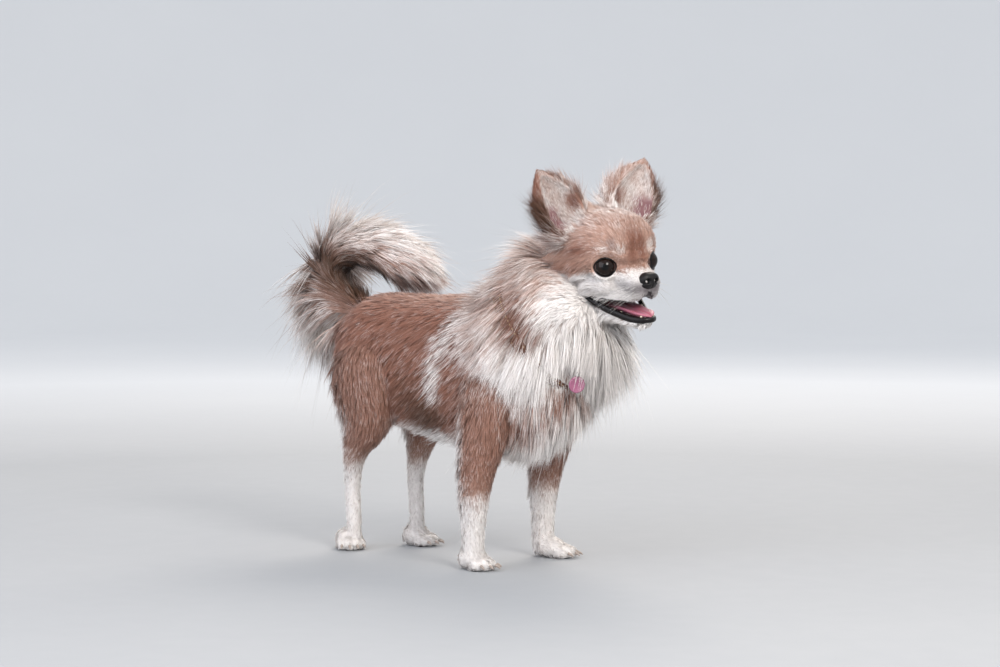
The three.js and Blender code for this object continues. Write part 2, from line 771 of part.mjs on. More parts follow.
// Body pieces, in the dog's frame
const headRoom = joined([
  skullRoom,
  head.room,
  ...earRoomAll,
  ...[jawSkin, tongueSkin].map(roomFor),
]).transform(headPlace.toArray());
const torsoSkin = torsoForm.geometry(15, 20);
const torsoRoom = roomFor(torsoSkin);
const neckSkin = neckForm.geometry(9, 18);

function collarBand(room) {
  const { at } = neckForm.station(COLLAR_AT);
  const { along } = neckForm.frame(COLLAR_AT);
  const way = along.applyAxisAngle(LEFT, COLLAR_TILT);
  const half = way.clone().multiplyScalar(COLLAR_WIDE / 2 + room);
  const inside = room > 0 ? solidOf(neckSkin) : roomFor(neckSkin);
  const band = solidOf(neckForm.thicker(COLLAR_THICK + room).geometry(9, 18)).subtract(inside);
  return between(band, [at.clone().sub(half), way], [at.clone().add(half), way.clone().negate()]);
}

const collar = without(collarBand(0), headRoom, torsoRoom);
add(dog, "collar", collar, "strap");
const tagAt = neckForm.thicker(COLLAR_THICK + 2 * ROOM).point(COLLAR_AT, TAG_SIDE);
function tagDisc(room) {
  const radius = TAG_RADIUS + room;
  const disc = new THREE.CylinderGeometry(radius, radius, 1.6 + 2 * room, 16).rotateZ(Math.PI / 2);
  disc.rotateZ(TAG_SIDE - 1.5 * Math.PI - 0.2);
  return solidOf(disc.translate(tagAt.x + 1.5, tagAt.y - 1, tagAt.z - TAG_RADIUS));
}
const collarRoom = joined([collarBand(ROOM), tagDisc(ROOM)]);
const tag = without(tagDisc(0), collarBand(ROOM), roomFor(neckSkin), torsoRoom);
add(dog, "collar_tag", tag, "tag");

const legSkins = Object.fromEntries(
  Object.entries(legForms).map(([name, form]) => [name, form.geometry(14, 12)]),
);
const legRooms = Object.values(legSkins).map(roomFor);
const ruff = locksOver(neckForm, RUFF_ROWS, ruffStyle);
const neckCore = without(solidOf(neckSkin), headRoom, torsoRoom);
const neck = withLocks(neckCore, ruff, [headRoom, torsoRoom, collarRoom, ...legRooms]);
add(dog, "neck", neck.solid, "cream");
const frontRooms = [headRoom, collarRoom, neck.room, roomFor(neckSkin)];

// Chest, belly and flank
const downBack = ({ along }, down) => along.clone().negate().addScaledVector(DOWN, down);
const chestLocks = locksOver(
  torsoForm,
  { from: 0.86, to: 0.99, rows: 3, angles: [188, 352], inRow: 4 },
  () => ({ way: DOWN.clone(), long: RUFF_LONG, wide: 12, stand: 0.16, sag: 0.1, sunk: 5 }),
);
const bellyLocks = locksOver(
  torsoForm,
  { from: 0.22, to: 0.72, rows: 2, angles: [225, 315], inRow: 3 },
  (spot) => ({ way: downBack(spot, 0.3), long: 1.2 * FRINGE_LONG, wide: 9, stand: 0.3, sag: 0.2 }),
);
const torsoRooms = [...frontRooms, ...legRooms];
const torsoCore = without(solidOf(torsoSkin), headRoom);
const torso = withLocks(torsoCore, [...chestLocks, ...bellyLocks], torsoRooms);
add(dog, "torso", torso.solid, "coat");

// Legs, with feathers behind the fore legs and longer hair behind the thighs
const bodyRooms = [torsoRoom, torso.room, ...frontRooms];
const PAW_CUT = [vec(0, 0, PAW_TALL), DOWN];
const legLockRooms = [];
for (const [name, form] of Object.entries(legForms)) {
  const whole = without(solidOf(legSkins[name]), ...bodyRooms);
  const isFront = name.startsWith("front");
  const middleZ = isFront ? ELBOW_Z - 6 : 0.4 * WITHERS;
  const upper = between(whole, [vec(0, 0, middleZ), UP]);
  const lower = between(whole, [vec(0, 0, middleZ), DOWN], [vec(0, 0, PAW_TALL), UP]);
  const foot = joined([paw(name), whole]);
  const patch = isFront
    ? { from: 0.5, to: 0.72, rows: 3, angles: [245, 295], inRow: 1 }
    : { from: 0.16, to: 0.44, rows: 3, angles: [225, 315], inRow: 2 };
  const feathers = locksOver(form, patch, ({ along }) => ({
    way: along.clone(),
    long: FRINGE_LONG * (isFront ? 0.9 : 1.2),
    wide: isFront ? 4.5 : 7,
    stand: 0.3,
  }));
  const nearby = [...bodyRooms, ...legLockRooms];
  const upperCoat = withLocks(upper, isFront ? [] : feathers, [...nearby, roomBelow(form, middleZ)]);
  const lowerCoat = withLocks(lower, isFront ? feathers : [], nearby);
  legLockRooms.push(upperCoat.room, lowerCoat.room);
  add(dog, `${name}_${isFront ? "shoulder" : "thigh"}`, upperCoat.solid, "coat");
  add(dog, `${name}_${isFront ? "forearm" : "shank"}`, lowerCoat.solid, "cream");
  add(dog, `${name}_paw`, between(foot, PAW_CUT).trimByPlane([0, 0, 1], 0), "cream");
}

const tailSkins = Object.entries(TAIL_LENGTHS).map(([name, [from, to]]) => ({
  name,
  from,
  to,
  skin: tailForm.geometry(5, 10, from + TAIL_GAP, to - TAIL_GAP),
}));
const tailRooms = [...bodyRooms, ...legRooms, ...legLockRooms];
for (const { name, from, to, skin } of tailSkins) {
  const patch = { from: Math.max(from, PLUME_FROM), to, rows: from ? 3 : 2, angles: [-10, 190], inRow: 4 };
  const plume = locksOver(tailForm, patch, plumeStyle);
  const others = tailSkins.filter((other) => other.name !== name).map((other) => roomFor(other.skin));
  const core = without(solidOf(skin), torsoRoom, torso.room);
  const length = withLocks(core, plume, [...tailRooms, ...others]);
  tailRooms.push(length.room);
  add(dog, name, length.solid, "coat");
}

// The origin is under the middle of the dog.
const bounds = new THREE.Box3().setFromObject(dog, true);
const middle = bounds.getCenter(vec(0, 0, 0));
dog.position.set(-middle.x, -middle.y, -bounds.min.z);

export default dog;
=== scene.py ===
# %% [markdown]
# # A long-haired chihuahua, standing still
# This is a life-size animal model, dressed around a fixed CAD frame. The frame gives the true size, place and
# outline of every part. This file adds what the frame leaves out: one smooth skin, the coat, the wet parts of
# the face and the strap. Everything is in metres, and lengths that are easier to read in millimetres are
# turned to metres by one function.

# %% Load the frame and keep its size
import math

import bmesh
import bpy
import numpy as np
from mathutils import Matrix, Vector
from mathutils.bvhtree import BVHTree
from mathutils.kdtree import KDTree


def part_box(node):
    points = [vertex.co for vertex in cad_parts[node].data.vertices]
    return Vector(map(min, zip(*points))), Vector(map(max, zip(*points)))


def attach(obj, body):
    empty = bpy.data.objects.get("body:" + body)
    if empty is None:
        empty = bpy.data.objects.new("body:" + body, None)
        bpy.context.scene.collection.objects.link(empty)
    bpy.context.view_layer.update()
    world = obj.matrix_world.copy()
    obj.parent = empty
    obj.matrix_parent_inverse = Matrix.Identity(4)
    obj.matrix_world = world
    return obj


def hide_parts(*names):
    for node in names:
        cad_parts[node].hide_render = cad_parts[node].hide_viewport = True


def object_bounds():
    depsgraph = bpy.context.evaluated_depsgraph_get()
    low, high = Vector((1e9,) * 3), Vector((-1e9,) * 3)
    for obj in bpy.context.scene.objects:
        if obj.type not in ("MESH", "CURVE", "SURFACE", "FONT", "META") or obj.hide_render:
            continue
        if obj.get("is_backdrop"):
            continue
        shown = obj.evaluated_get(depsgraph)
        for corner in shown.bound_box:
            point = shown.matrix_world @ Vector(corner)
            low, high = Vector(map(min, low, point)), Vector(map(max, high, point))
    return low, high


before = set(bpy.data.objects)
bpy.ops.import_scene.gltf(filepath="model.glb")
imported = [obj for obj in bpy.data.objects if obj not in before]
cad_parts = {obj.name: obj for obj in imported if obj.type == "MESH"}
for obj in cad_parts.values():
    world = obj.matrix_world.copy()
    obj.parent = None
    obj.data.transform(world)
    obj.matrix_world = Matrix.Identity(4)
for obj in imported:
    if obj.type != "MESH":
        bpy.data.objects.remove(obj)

cad_box = [list(corner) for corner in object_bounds()]
random = np.random.default_rng(11)
print("frame:", len(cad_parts), "nodes, box", [[round(v, 3) for v in c] for c in cad_box])

# %% [markdown]
# ## Places
# The parts were drawn around the middle of the shoulders and then moved, so that the origin lies under the
# middle of the whole dog. The right eyeball tells how far: its place in the drawing is known, and the frame
# says where it is now. The head has its own frame, with +X to the nose.

# %% From the drawing's millimetres to the frame's metres
HEAD_AT = np.array([147.0, 18.0, 240.5])
HEAD_ROLL, HEAD_PITCH, HEAD_YAW = 6, 2, -14  # degrees
EYE_AT = np.array([21.0, 20.5, 0.0])  # the left eye, in the head
EYE_RADIUS = 8.6


def rotation(degrees, axis):
    return np.array(Matrix.Rotation(math.radians(degrees), 3, axis))


HEAD_TURN = rotation(HEAD_YAW, "Z") @ rotation(HEAD_PITCH, "Y") @ rotation(HEAD_ROLL, "X")


def from_head(points):
    return np.asarray(points, float) @ HEAD_TURN.T + HEAD_AT


def to_head(points):
    return (np.asarray(points, float) - HEAD_AT) @ HEAD_TURN


right_eye = 500 * np.sum([np.array(c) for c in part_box("eye_right")], axis=0)
SHIFT = right_eye - from_head(EYE_AT * [1, -1, 1])


def metres(points):
    return (np.asarray(points, float) + SHIFT) / 1000


def unit(vectors):
    long = np.linalg.norm(vectors, axis=-1, keepdims=True)
    return vectors / np.maximum(long, 1e-9)


def ease(values, low, high):
    share = np.clip((values - low) / (high - low), 0, 1)
    return share * share * (3 - 2 * share)


print("the drawing moves by", SHIFT.round(2), "mm")

# %% [markdown]
# ## Camera
# A long lens from a low place, in front of the dog's right shoulder, level with its head.

# %% Camera
CAMERA_AT = np.array([1266.7, -1448.5, 264.0])
LOOK_SIDE, LOOK_DOWN = math.radians(40), math.radians(2.46)
camera = bpy.data.objects.new("camera", bpy.data.cameras.new("camera"))
camera.data.lens = 85
camera.data.sensor_width = 36
camera.location = metres(CAMERA_AT)
look = Vector((-math.sin(LOOK_SIDE), math.cos(LOOK_SIDE), -math.tan(LOOK_DOWN)))
camera.rotation_mode = "QUATERNION"
camera.rotation_quaternion = look.to_track_quat("-Z", "Y")
camera.data.clip_end = 20
bpy.context.scene.collection.objects.link(camera)
bpy.context.scene.camera = camera
print("camera at", [round(v, 3) for v in camera.location])

# %% [markdown]
# ## Forms
# A body is a few tubes of changing width round smooth lines. Each row of a form is a station along it: its
# place, its half width to the side, and its reach to the front or top and to the back or bottom. The rows are
# the frame's own, so the skin made from them fits inside it. The alternative, sculpting by hand, could not be
# repeated from code.

# %% Faces of tubes and ropes
def tube_faces(rings, sides):
    """Faces of a closed tube: rings of points one after the other, and a cap at each end."""
    i, j = np.divmod(np.arange((rings - 1) * sides), sides)
    near, beside = i * sides + j, i * sides + (j + 1) % sides
    sheet = np.stack([near, beside, beside + sides, near + sides], axis=1).tolist()
    return sheet + [list(range(sides))[::-1], list(range((rings - 1) * sides, rings * sides))]


def rope_faces(rings, sides):
    """Faces of a rope whose last ring joins its first."""
    i, j = np.divmod(np.arange(rings * sides), sides)
    ahead, beside = (i + 1) % rings, (j + 1) % sides
    near, far = i * sides, ahead * sides
    return np.stack([near + j, near + beside, far + beside, far + j], axis=1).tolist()


print("a tube of 3 rings with 4 sides has", len(tube_faces(3, 4)), "faces")

# %% The form class
FORWARD = np.array([1.0, 0.0, 0.0])
LEFT = np.array([0.0, 1.0, 0.0])
UP = np.array([0.0, 0.0, 1.0])
DOWN = -UP


class Form:
    def __init__(self, rows, start=0.2, end=0.2, square=2.2, side=LEFT, swells=(), place=None, thin=0):
        self.rows = np.array(rows, float)
        self.rows[:, 3:] = np.maximum(self.rows[:, 3:] - np.reshape(thin, (-1, 1)), 0.35 * self.rows[:, 3:])
        steps = np.linalg.norm(np.diff(self.rows[:, :3], axis=0), axis=1)
        self.knots = np.concatenate([[0], np.cumsum(steps)]) / steps.sum()
        slopes = np.diff(self.rows, axis=0) / np.diff(self.knots)[:, None]
        self.slopes = np.vstack([slopes[:1], (slopes[1:] + slopes[:-1]) / 2, slopes[-1:]])
        self.start, self.end, self.square, self.side = start, end, square, side
        self.swells, self.place = swells, place

    def station(self, t):
        t = np.clip(t, 0, 1)
        i = np.clip(np.searchsorted(self.knots, t, side="right") - 1, 0, len(self.knots) - 2)
        step = (self.knots[i + 1] - self.knots[i])[:, None]
        p = (t - self.knots[i])[:, None] / step
        a, b = self.rows[i], self.rows[i + 1]
        ga, gb = self.slopes[i] * step, self.slopes[i + 1] * step
        near = a * (2 * p**3 - 3 * p**2 + 1) + ga * (p**3 - 2 * p**2 + p)
        return near + b * (3 * p**2 - 2 * p**3) + gb * (p**3 - p**2)

    def axes(self, t):
        before, after = self.station(t - 0.01)[:, :3], self.station(t + 0.01)[:, :3]
        along = unit(after - before)
        front = unit(np.cross(along, self.side))
        return along, front, np.cross(front, along)

    def surface(self, t, a):
        """Points at shares t of the length and angles a, before the form is put in its place."""
        rows = self.station(t)
        along, front, side = self.axes(t)
        q = np.minimum(1, np.minimum(t / self.start, (1 - t) / self.end))
        ends = np.sqrt(np.maximum(0, q * (2 - q)))
        c, s = np.cos(a), np.sin(a)
        k = ends * (np.abs(c) ** self.square + np.abs(s) ** self.square) ** (-1 / self.square)
        tall = np.where(s > 0, rows[:, 4], rows[:, 5])
        out = side * (c * k * rows[:, 3])[:, None] + front * (s * k * tall)[:, None]
        points = rows[:, :3] + out
        away = np.where(np.linalg.norm(out, axis=1)[:, None] > 1e-6, unit(out), along)
        for at, reach, push in self.swells:
            far = np.linalg.norm(points - at, axis=1) / reach
            points = points + away * (push * np.exp(-far * far))[:, None]
        return points

    def put(self, points):
        return self.place(points) if self.place else points

    def grid(self, rings, sides):
        even = np.linspace(0, 1, rings)
        t = np.repeat(0.45 * even + 0.55 * (0.5 - 0.5 * np.cos(np.pi * even)), sides)
        t = np.clip(t, 0.002, 0.998)
        a = np.tile(np.arange(sides) * 2 * np.pi / sides, rings)
        return t, a

    def shell(self, rings, sides, shape=None):
        t, a = self.grid(rings, sides)
        points = self.surface(t, a)
        if shape:
            points = shape(points)
        return self.put(points), tube_faces(rings, sides)


print("a form turns rows of numbers into a closed surface")

# %% Body, head and leg rows
WITHERS, TRUNK, CHEST_WIDE, RUMP_X = 220, 250, 96, -119
HEAD_LONG, SKULL_WIDE, OCCIPUT_X = 94, 76, -42
TAIL_CORE = 8.5
TRUNK_ROWS = [
    (0.0, 0.77, 0.76, 0.17, 0.19),
    (0.15, 0.76, 0.9, 0.225, 0.25),
    (0.4, 0.74, 0.92, 0.245, 0.31),
    (0.65, 0.73, 0.98, 0.26, 0.35),
    (0.85, 0.7, 1.0, 0.27, 0.33),
    (1.0, 0.66, 0.9, 0.24, 0.25),
]
NECK_ROWS = [
    (62, 0, 146, 50, 44, 54),
    (86, 5, 176, 52, 48, 56),
    (108, 10, 204, 49, 50, 52),
    (130, 15, 228, 40, 46, 42),
]
HEAD_ROWS = [
    (0.0, 12, 0.74, 24, 26),
    (0.16, 12, 0.92, 31, 34),
    (0.34, 11, 1.0, 33, 36),
    (0.5, 9, 0.97, 34, 34),
    (0.62, 5, 0.88, 32, 30),
    (0.69, -2, 0.68, 23, 23),
    (0.75, -8, 0.48, 12, 18),
    (0.84, -11.5, 0.38, 8.5, 14),
    (0.93, -13.5, 0.33, 7, 12.5),
    (0.98, -14.5, 0.28, 6, 10),
]
JAW_ROWS = [
    (-14, 0, -27, 24, 8, 12),
    (4, 0, -34, 21, 6, 10),
    (22, 0, -39, 15, 4, 7.5),
    (36, 0, -43, 11.5, 3.5, 6),
    (45.5, 0, -44.5, 9.5, 3, 5),
]
TAIL_ROWS = [
    (-88, 0, 184, 1.3, 1.3, 1.4),
    (-107, 0, 203, 1.5, 1.8, 1.2),
    (-127, 1, 217, 1.6, 2, 1),
    (-137, 3, 231, 1.6, 2, 1),
    (-127, 7, 243, 1.6, 2, 1),
    (-105, 13, 246, 1.6, 2, 1),
    (-81, 20, 240, 1.5, 1.8, 1),
    (-58, 28, 231, 0.9, 1, 0.8),
]
FOOT = {
    "front_right": (66, -51),
    "front_left": (70, 42),
    "hind_right": (-94, -24),
    "hind_left": (-64, 27),
}
TOE_TURN = {"front_right": -4, "front_left": 20, "hind_right": -36, "hind_left": 8}


def trunk_row(along, middle, wide, up, down):
    size = (CHEST_WIDE / 2 * wide, WITHERS * up, WITHERS * down)
    return (RUMP_X + TRUNK * along, 0, WITHERS * middle, *size)


def head_row(along, middle, wide, up, down):
    return (OCCIPUT_X + HEAD_LONG * along, 0, middle, SKULL_WIDE / 2 * wide, up, down)


def front_leg_rows(x, y):
    s = math.copysign(1, y)
    heel = x - (9 if s > 0 else 0)
    return [
        (74, 26 * s, 168, 18, 28, 28),
        (72, 34 * s, 140, 20, 26, 26),
        (71, (y + 38 * s) / 2, 103.4, 18, 21, 20),
        (heel + 3, y, 70.4, 14, 16, 15),
        (heel + 1, y, 37.4, 10.5, 12, 12),
        (heel, y, 14, 10, 11, 10),
        (heel, y, 0, 9, 10, 9),
    ]


def hind_leg_rows(x, y):
    s = math.copysign(1, y)
    ahead = x - FOOT["hind_right"][0]
    heel = x + (0 if s > 0 else 5)
    return [
        (-74, 26 * s, 176, 20, 28, 24),
        (-67, 32 * s, 146, 22, 32, 29),
        (-62 + 0.25 * ahead, 32 * s, 110, 18, 20, 27),
        (-80 + 0.65 * ahead, 29 * s, 81.4, 11, 11, 15),
        (heel + 1, y, 61.6, 8, 8.5, 11),
        (heel + 1, y, 28.6, 7.6, 8.5, 8.5),
        (heel + 1, y, 0, 8, 9, 8),
    ]


print(len(TRUNK_ROWS) + len(NECK_ROWS) + len(HEAD_ROWS), "rows for the trunk, neck and head")

# %% [markdown]
# The coat has a depth, so the skin lies inside the frame by it. Where the frame's solids already carry locks,
# their core is the skin's place, and it only gives way by a little.

# %% The forms, thinned by the coat's depth
HEAD_SWELLS = [
    (np.array([x, y * s, z]), reach, push)
    for s in (1, -1)
    for x, y, z, reach, push in [
        (16, 21, 16, 12, 0.8),  # brow
        (4, 34, -18, 16, 2.5),  # cheek
        (44, 12, -19, 9, 2.2),  # upper lip
    ]
]
HEAD_THIN = [3.5, 3.5, 3.5, 3.2, 3.6, 3.4, 1.6, 0.8, 0.8, 0.8]  # the fur of the muzzle is the shortest
forms = {
    "torso": Form([trunk_row(*r) for r in TRUNK_ROWS], 0.2, 0.24, 2.25, thin=6),
    "neck": Form(NECK_ROWS, 0.3, 0.2, 2.1, thin=[3, 3.8, 6.5, 9]),  # it slips in behind the cheeks
    "head": Form(
        [head_row(*r) for r in HEAD_ROWS], 0.22, 0.07, 2.15, swells=HEAD_SWELLS, place=from_head, thin=HEAD_THIN
    ),
    "jaw": Form(JAW_ROWS, 0.15, 0.14, 2.3, place=from_head, thin=0.8),
    "tail": Form([(*r[:3], *(TAIL_CORE * v for v in r[3:])) for r in TAIL_ROWS], 0.05, 0.1, 2, thin=4),
}
for leg, (x, y) in FOOT.items():
    rows = front_leg_rows(x, y) if leg.startswith("front") else hind_leg_rows(x, y)
    forms[leg] = Form(rows, 0.14, 0.03, thin=2.5)
print("forms:", ", ".join(forms))

# %% Ears: an outer and an inner form, whose difference is a thin cup
EAR_TALL, EAR_LEAN = 52, 30
EAR_OPENS = {1: -20, -1: 8}
EAR_ROOT = np.array([-11.0, 27.0, 31.0])
EAR_OUTER = [
    (-0.16, 0, 19, 10, 9),
    (0.15, -1, 21.5, 9, 10),
    (0.45, -3, 20, 7, 9),
    (0.75, -4, 12.5, 4.5, 6),
    (1.0, -4, 3.4, 2, 2.6),
]
EAR_INNER = [
    (0.02, 12, 14, 11, 12),
    (0.18, 11, 18.5, 13, 14),
    (0.45, 8, 17.6, 12, 12.5),
    (0.75, 4, 10.5, 9, 8),
    (0.95, 1, 2.4, 5, 3.4),
]


def ear_place(s):
    turn = rotation(-s * EAR_LEAN, "X") @ rotation(EAR_OPENS[s], "Z")

    def place(points):
        return from_head(points @ turn.T + EAR_ROOT * [1, s, 1])

    return place


def ear_row(up, lean, wide, front, back):
    return (lean, 0, EAR_TALL * up, wide, front, back)


for s, name in ((1, "ear_left"), (-1, "ear_right")):
    forms[name] = Form([ear_row(*r) for r in EAR_OUTER], 0.06, 0.12, 2.1, place=ear_place(s), thin=0.4)
    inner = Form([ear_row(*r) for r in EAR_INNER], 0.2, 0.1, 2.1, place=ear_place(s), thin=0.3)
    forms[name + "_inside"] = inner
print("ears stand", EAR_TALL, "mm tall")

# %% [markdown]
# ## One skin
# The tubes cross each other. A voxel remesh turns them into one closed surface, as wet clay pressed together
# would be, and a few rounds of smoothing round the creases where they meet. A Boolean union would keep the
# creases sharp and leave long thin faces that hold no detail.

# %% Helpers for meshes
def mesh_of(name, points, faces):
    mesh = bpy.data.meshes.new(name)
    mesh.from_pydata([tuple(p) for p in points], [], faces)
    piece = bpy.data.objects.new(name, mesh)
    bpy.context.scene.collection.objects.link(piece)
    return piece


def corners(mesh):
    points = np.empty(len(mesh.vertices) * 3)
    mesh.vertices.foreach_get("co", points)
    return points.reshape(-1, 3)


def evaluated(piece):
    """The piece's mesh with its modifiers applied. The piece itself is removed."""
    graph = bpy.context.evaluated_depsgraph_get()
    mesh = bpy.data.meshes.new_from_object(piece.evaluated_get(graph))
    bpy.data.objects.remove(piece)
    return mesh


def cut(piece, tool):
    change = piece.modifiers.new("cut", "BOOLEAN")
    change.operation, change.solver, change.object = "DIFFERENCE", "EXACT", tool
    mesh = evaluated(piece)
    bpy.data.objects.remove(tool)
    return corners(mesh), [list(p.vertices) for p in mesh.polygons]


# %% The shells that the skin is made of
def with_trough(points):
    """The jaw's top is hollow, from behind the front teeth, for the tongue."""
    spine = np.array(JAW_ROWS)
    middle = np.interp(points[:, 0], spine[:, 0], spine[:, 2])
    wide = np.interp(points[:, 0], spine[:, 0], spine[:, 3]) - 2.5
    inside = ease(1 - np.abs(points[:, 1]) / wide, 0, 0.35) * (points[:, 2] > middle)
    inside = inside * ease(points[:, 0], 2, 10) * (1 - ease(points[:, 0], 40, 44))
    return points - np.outer(inside * 7.5, UP)


LIP_ROWS = [
    # x, y, z, half height, half thickness
    (8, 21, -20, 5.5, 3.5),
    (22, 16.2, -21.5, 5.5, 3.6),
    (34, 11.2, -22.5, 5.5, 4),
    (43, 7, -21, 4.8, 4),
    (48.5, 3, -18.5, 3.5, 3),
]


def lip_form(s):
    rows = [(x, y * s, z, tall, thick, thick) for x, y, z, tall, thick in LIP_ROWS]
    return Form(rows, 0.1, 0.1, 2, side=UP, place=from_head)


GAZE = unit(np.array([0.78, 0.62, 0.02]))
LID_WIDE, LID_TOP, LID_LOW = (math.radians(v) for v in (66, 54, 60))  # half openings, from the ball's middle


def lid_angle(across, up):
    """How far the lids open in a direction round the gaze. They end in a point at both corners."""
    tall = np.where(up > 0, LID_TOP, LID_LOW)
    return (1 + 0.17 * np.abs(across) ** 10) / np.hypot(across / LID_WIDE, up / tall)


def eye_axes(s):
    """The gaze of an eye, and the directions across and up its opening, in the head."""
    gaze = GAZE * [1, s, 1]
    across = unit(np.cross(UP, gaze))
    return gaze, across, np.cross(gaze, across)


def ring(centre, across, up, wide, tall, thick, steps=40, sides=10):
    """A closed rope round an oval."""
    turn = np.linspace(0, 2 * np.pi, steps, endpoint=False)
    out = unit(np.outer(np.cos(turn) * tall, across) + np.outer(np.sin(turn) * wide, up))
    middle = centre + np.outer(np.cos(turn) * wide, across) + np.outer(np.sin(turn) * tall, up)
    axis = np.cross(across, up)
    points = [
        middle + thick * (math.cos(v) * out + math.sin(v) * axis)
        for v in np.linspace(0, 2 * np.pi, sides, endpoint=False)
    ]
    return np.stack(points, axis=1).reshape(-1, 3), rope_faces(steps, sides)


shells = []
for name in ("torso", "neck", "head", "tail"):
    shells.append(forms[name].shell(64, 56))
shells.append(forms["jaw"].shell(60, 48, with_trough))
for leg in FOOT:
    shells.append(forms[leg].shell(44, 28))
for s, name in ((1, "ear_left"), (-1, "ear_right")):
    outer, inner = forms[name].shell(40, 40), forms[name + "_inside"].shell(36, 36)
    shells.append(cut(mesh_of("outer", *outer), mesh_of("inner", *inner)))
    shells.append(lip_form(s).shell(30, 12))
    cheek_pad = [(2, 26 * s, -15, 7, 5, 5), (15, 23 * s, -15, 7, 5, 5), (27, 16.5 * s, -16.5, 5.5, 4, 4)]
    shells.append(Form(cheek_pad, 0.2, 0.2, 2, side=UP, place=from_head).shell(24, 14))
    gaze, across, up = eye_axes(s)
    socket = EYE_AT * [1, s, 1] + gaze * 0.4 * EYE_RADIUS
    points, faces = ring(socket, across, up, 1.1 * EYE_RADIUS, 1.0 * EYE_RADIUS, 1.9)
    shells.append((from_head(points), faces))
print(len(shells), "shells")

# %% Paws: a palm and four toes each
PAW_TALL = 17
PALM = [(-11, 0, 7.5, 9.5, 9, 8), (0, 0, 8, 11, 9, 9), (11, 0, 6.2, 10.5, 6.5, 8)]
TOES = [(11, -8.2, 0.88), (15, -3, 1), (15, 3, 1), (11, 8.2, 0.88)]


def paw_place(leg):
    turn = rotation(TOE_TURN[leg], "Z")
    at = np.array([*FOOT[leg], 0.0])
    return lambda points: np.asarray(points, float) @ turn.T + at


def toe_rows(x, y, size):
    return [
        (x - 8, y * 0.8, 6.4, 4.6 * size, 4.6 * size, 8),
        (x, y, 5.6, 4.9 * size, 4.8 * size, 8),
        (x + 5, y * 1.06, 4.4, 4.2 * size, 3.6 * size, 8),
    ]


for leg in FOOT:
    place = paw_place(leg)
    forms[leg + "_palm"] = Form(PALM, 0.3, 0.3, place=place, thin=1)
    shells.append(forms[leg + "_palm"].shell(24, 20))
    for i, toe in enumerate(TOES):
        forms[f"{leg}_toe_{i}"] = Form(toe_rows(*toe), 0.3, 0.45, place=place, thin=0.8)
        shells.append(forms[f"{leg}_toe_{i}"].shell(20, 16))
print("paws stand on", ", ".join(FOOT))

# %% Join the shells and remesh them
VOXEL = 1.5
points = np.vstack([metres(p) for p, _ in shells])
offsets = np.cumsum([0] + [len(p) for p, _ in shells[:-1]])
faces = [[v + offset for v in face] for (_, faces_of), offset in zip(shells, offsets) for face in faces_of]
clay = mesh_of("clay", points, faces)
remesh = clay.modifiers.new("remesh", "REMESH")
remesh.mode, remesh.voxel_size = "VOXEL", VOXEL / 1000
skin_mesh = evaluated(clay)
print("skin:", len(skin_mesh.vertices), "points,", len(skin_mesh.polygons), "faces")

# %% [markdown]
# The remesh leaves small steps. Each point moves towards the middle of its neighbours, many times on the body
# and only a few times on the face and paws, where the forms are small. Every other round pushes outwards, so
# that thin parts such as the ears keep their size. Then the step between forehead and muzzle is pressed in,
# and the skin that covers an eye is drawn back to the edge of the lids.

# %% Smooth the skin
def neighbours_mean(values, edges, degree):
    total = np.empty_like(values)
    for k in range(values.shape[1]):
        total[:, k] = np.bincount(edges[:, 0], values[edges[:, 1], k], len(values))
        total[:, k] += np.bincount(edges[:, 1], values[edges[:, 0], k], len(values))
    return total / degree[:, None]


edges = np.empty(len(skin_mesh.edges) * 2, dtype=np.int64)
skin_mesh.edges.foreach_get("vertices", edges)
edges = edges.reshape(-1, 2)
degree = np.maximum(np.bincount(edges.ravel(), minlength=len(skin_mesh.vertices)), 1)
skin_at = corners(skin_mesh) * 1000 - SHIFT
on_head = ease(to_head(skin_at)[:, 0], -45, -25) * ease(to_head(skin_at)[:, 2], -62, -48)
near_floor = 1 - ease(skin_at[:, 2], 12, 26)
fine = np.maximum(on_head, near_floor)  # where the forms are small
softness = 0.62 * (1 - 0.45 * fine)
ROUNDS, FINE_ROUNDS = 24, 10
for i in range(ROUNDS):
    step = neighbours_mean(skin_at, edges, degree) - skin_at
    push = softness if i % 2 == 0 else -0.75 * softness
    skin_at += step * (push * (1 - fine * (i >= FINE_ROUNDS)))[:, None]


def beyond_eyes(points):
    """How far points in the head are from the nearer eyeball's surface."""
    far = [np.linalg.norm(points - EYE_AT * [1, s, 1], axis=1) for s in (1, -1)]
    return np.min(far, axis=0) - EYE_RADIUS


STOP_DEPTH = 3.0  # of the stop, the step between forehead and muzzle
hx, hy, hz = to_head(skin_at).T
stop = ease(hx, 22, 34) * ease(hz, 4, 12) * (1 - 0.5 * ease(np.abs(hy), 8, 18))
stop = stop * ease(beyond_eyes(to_head(skin_at)), 1, 5)
skin_at -= np.outer(STOP_DEPTH * stop, HEAD_TURN[:, 0])
for s in (1, -1):
    gaze, across, up = eye_axes(s)
    from_eye = to_head(skin_at) - EYE_AT * [1, s, 1]
    far = np.linalg.norm(from_eye, axis=1)
    beside = from_eye - np.outer(from_eye @ gaze, gaze)
    round_eye = unit(beside)
    opening = lid_angle(round_eye @ across, round_eye @ up)
    turned = np.arccos(np.clip(from_eye @ gaze / np.maximum(far, 1e-9), -1, 1))
    covers = (turned < opening) & (far > 0.9 * EYE_RADIUS) & (far < EYE_RADIUS + 9)
    close = np.minimum(far, EYE_RADIUS + 0.4 + 0.35 * np.maximum(far - EYE_RADIUS, 0))[:, None]
    lid = close * (np.cos(opening)[:, None] * gaze + np.sin(opening)[:, None] * round_eye)
    skin_at = np.where(covers[:, None], from_head(lid + EYE_AT * [1, s, 1]), skin_at)
skin_at[:, 2] = np.maximum(skin_at[:, 2], 0)
skin_mesh.vertices.foreach_set("co", metres(skin_at).ravel())
skin_mesh.update()
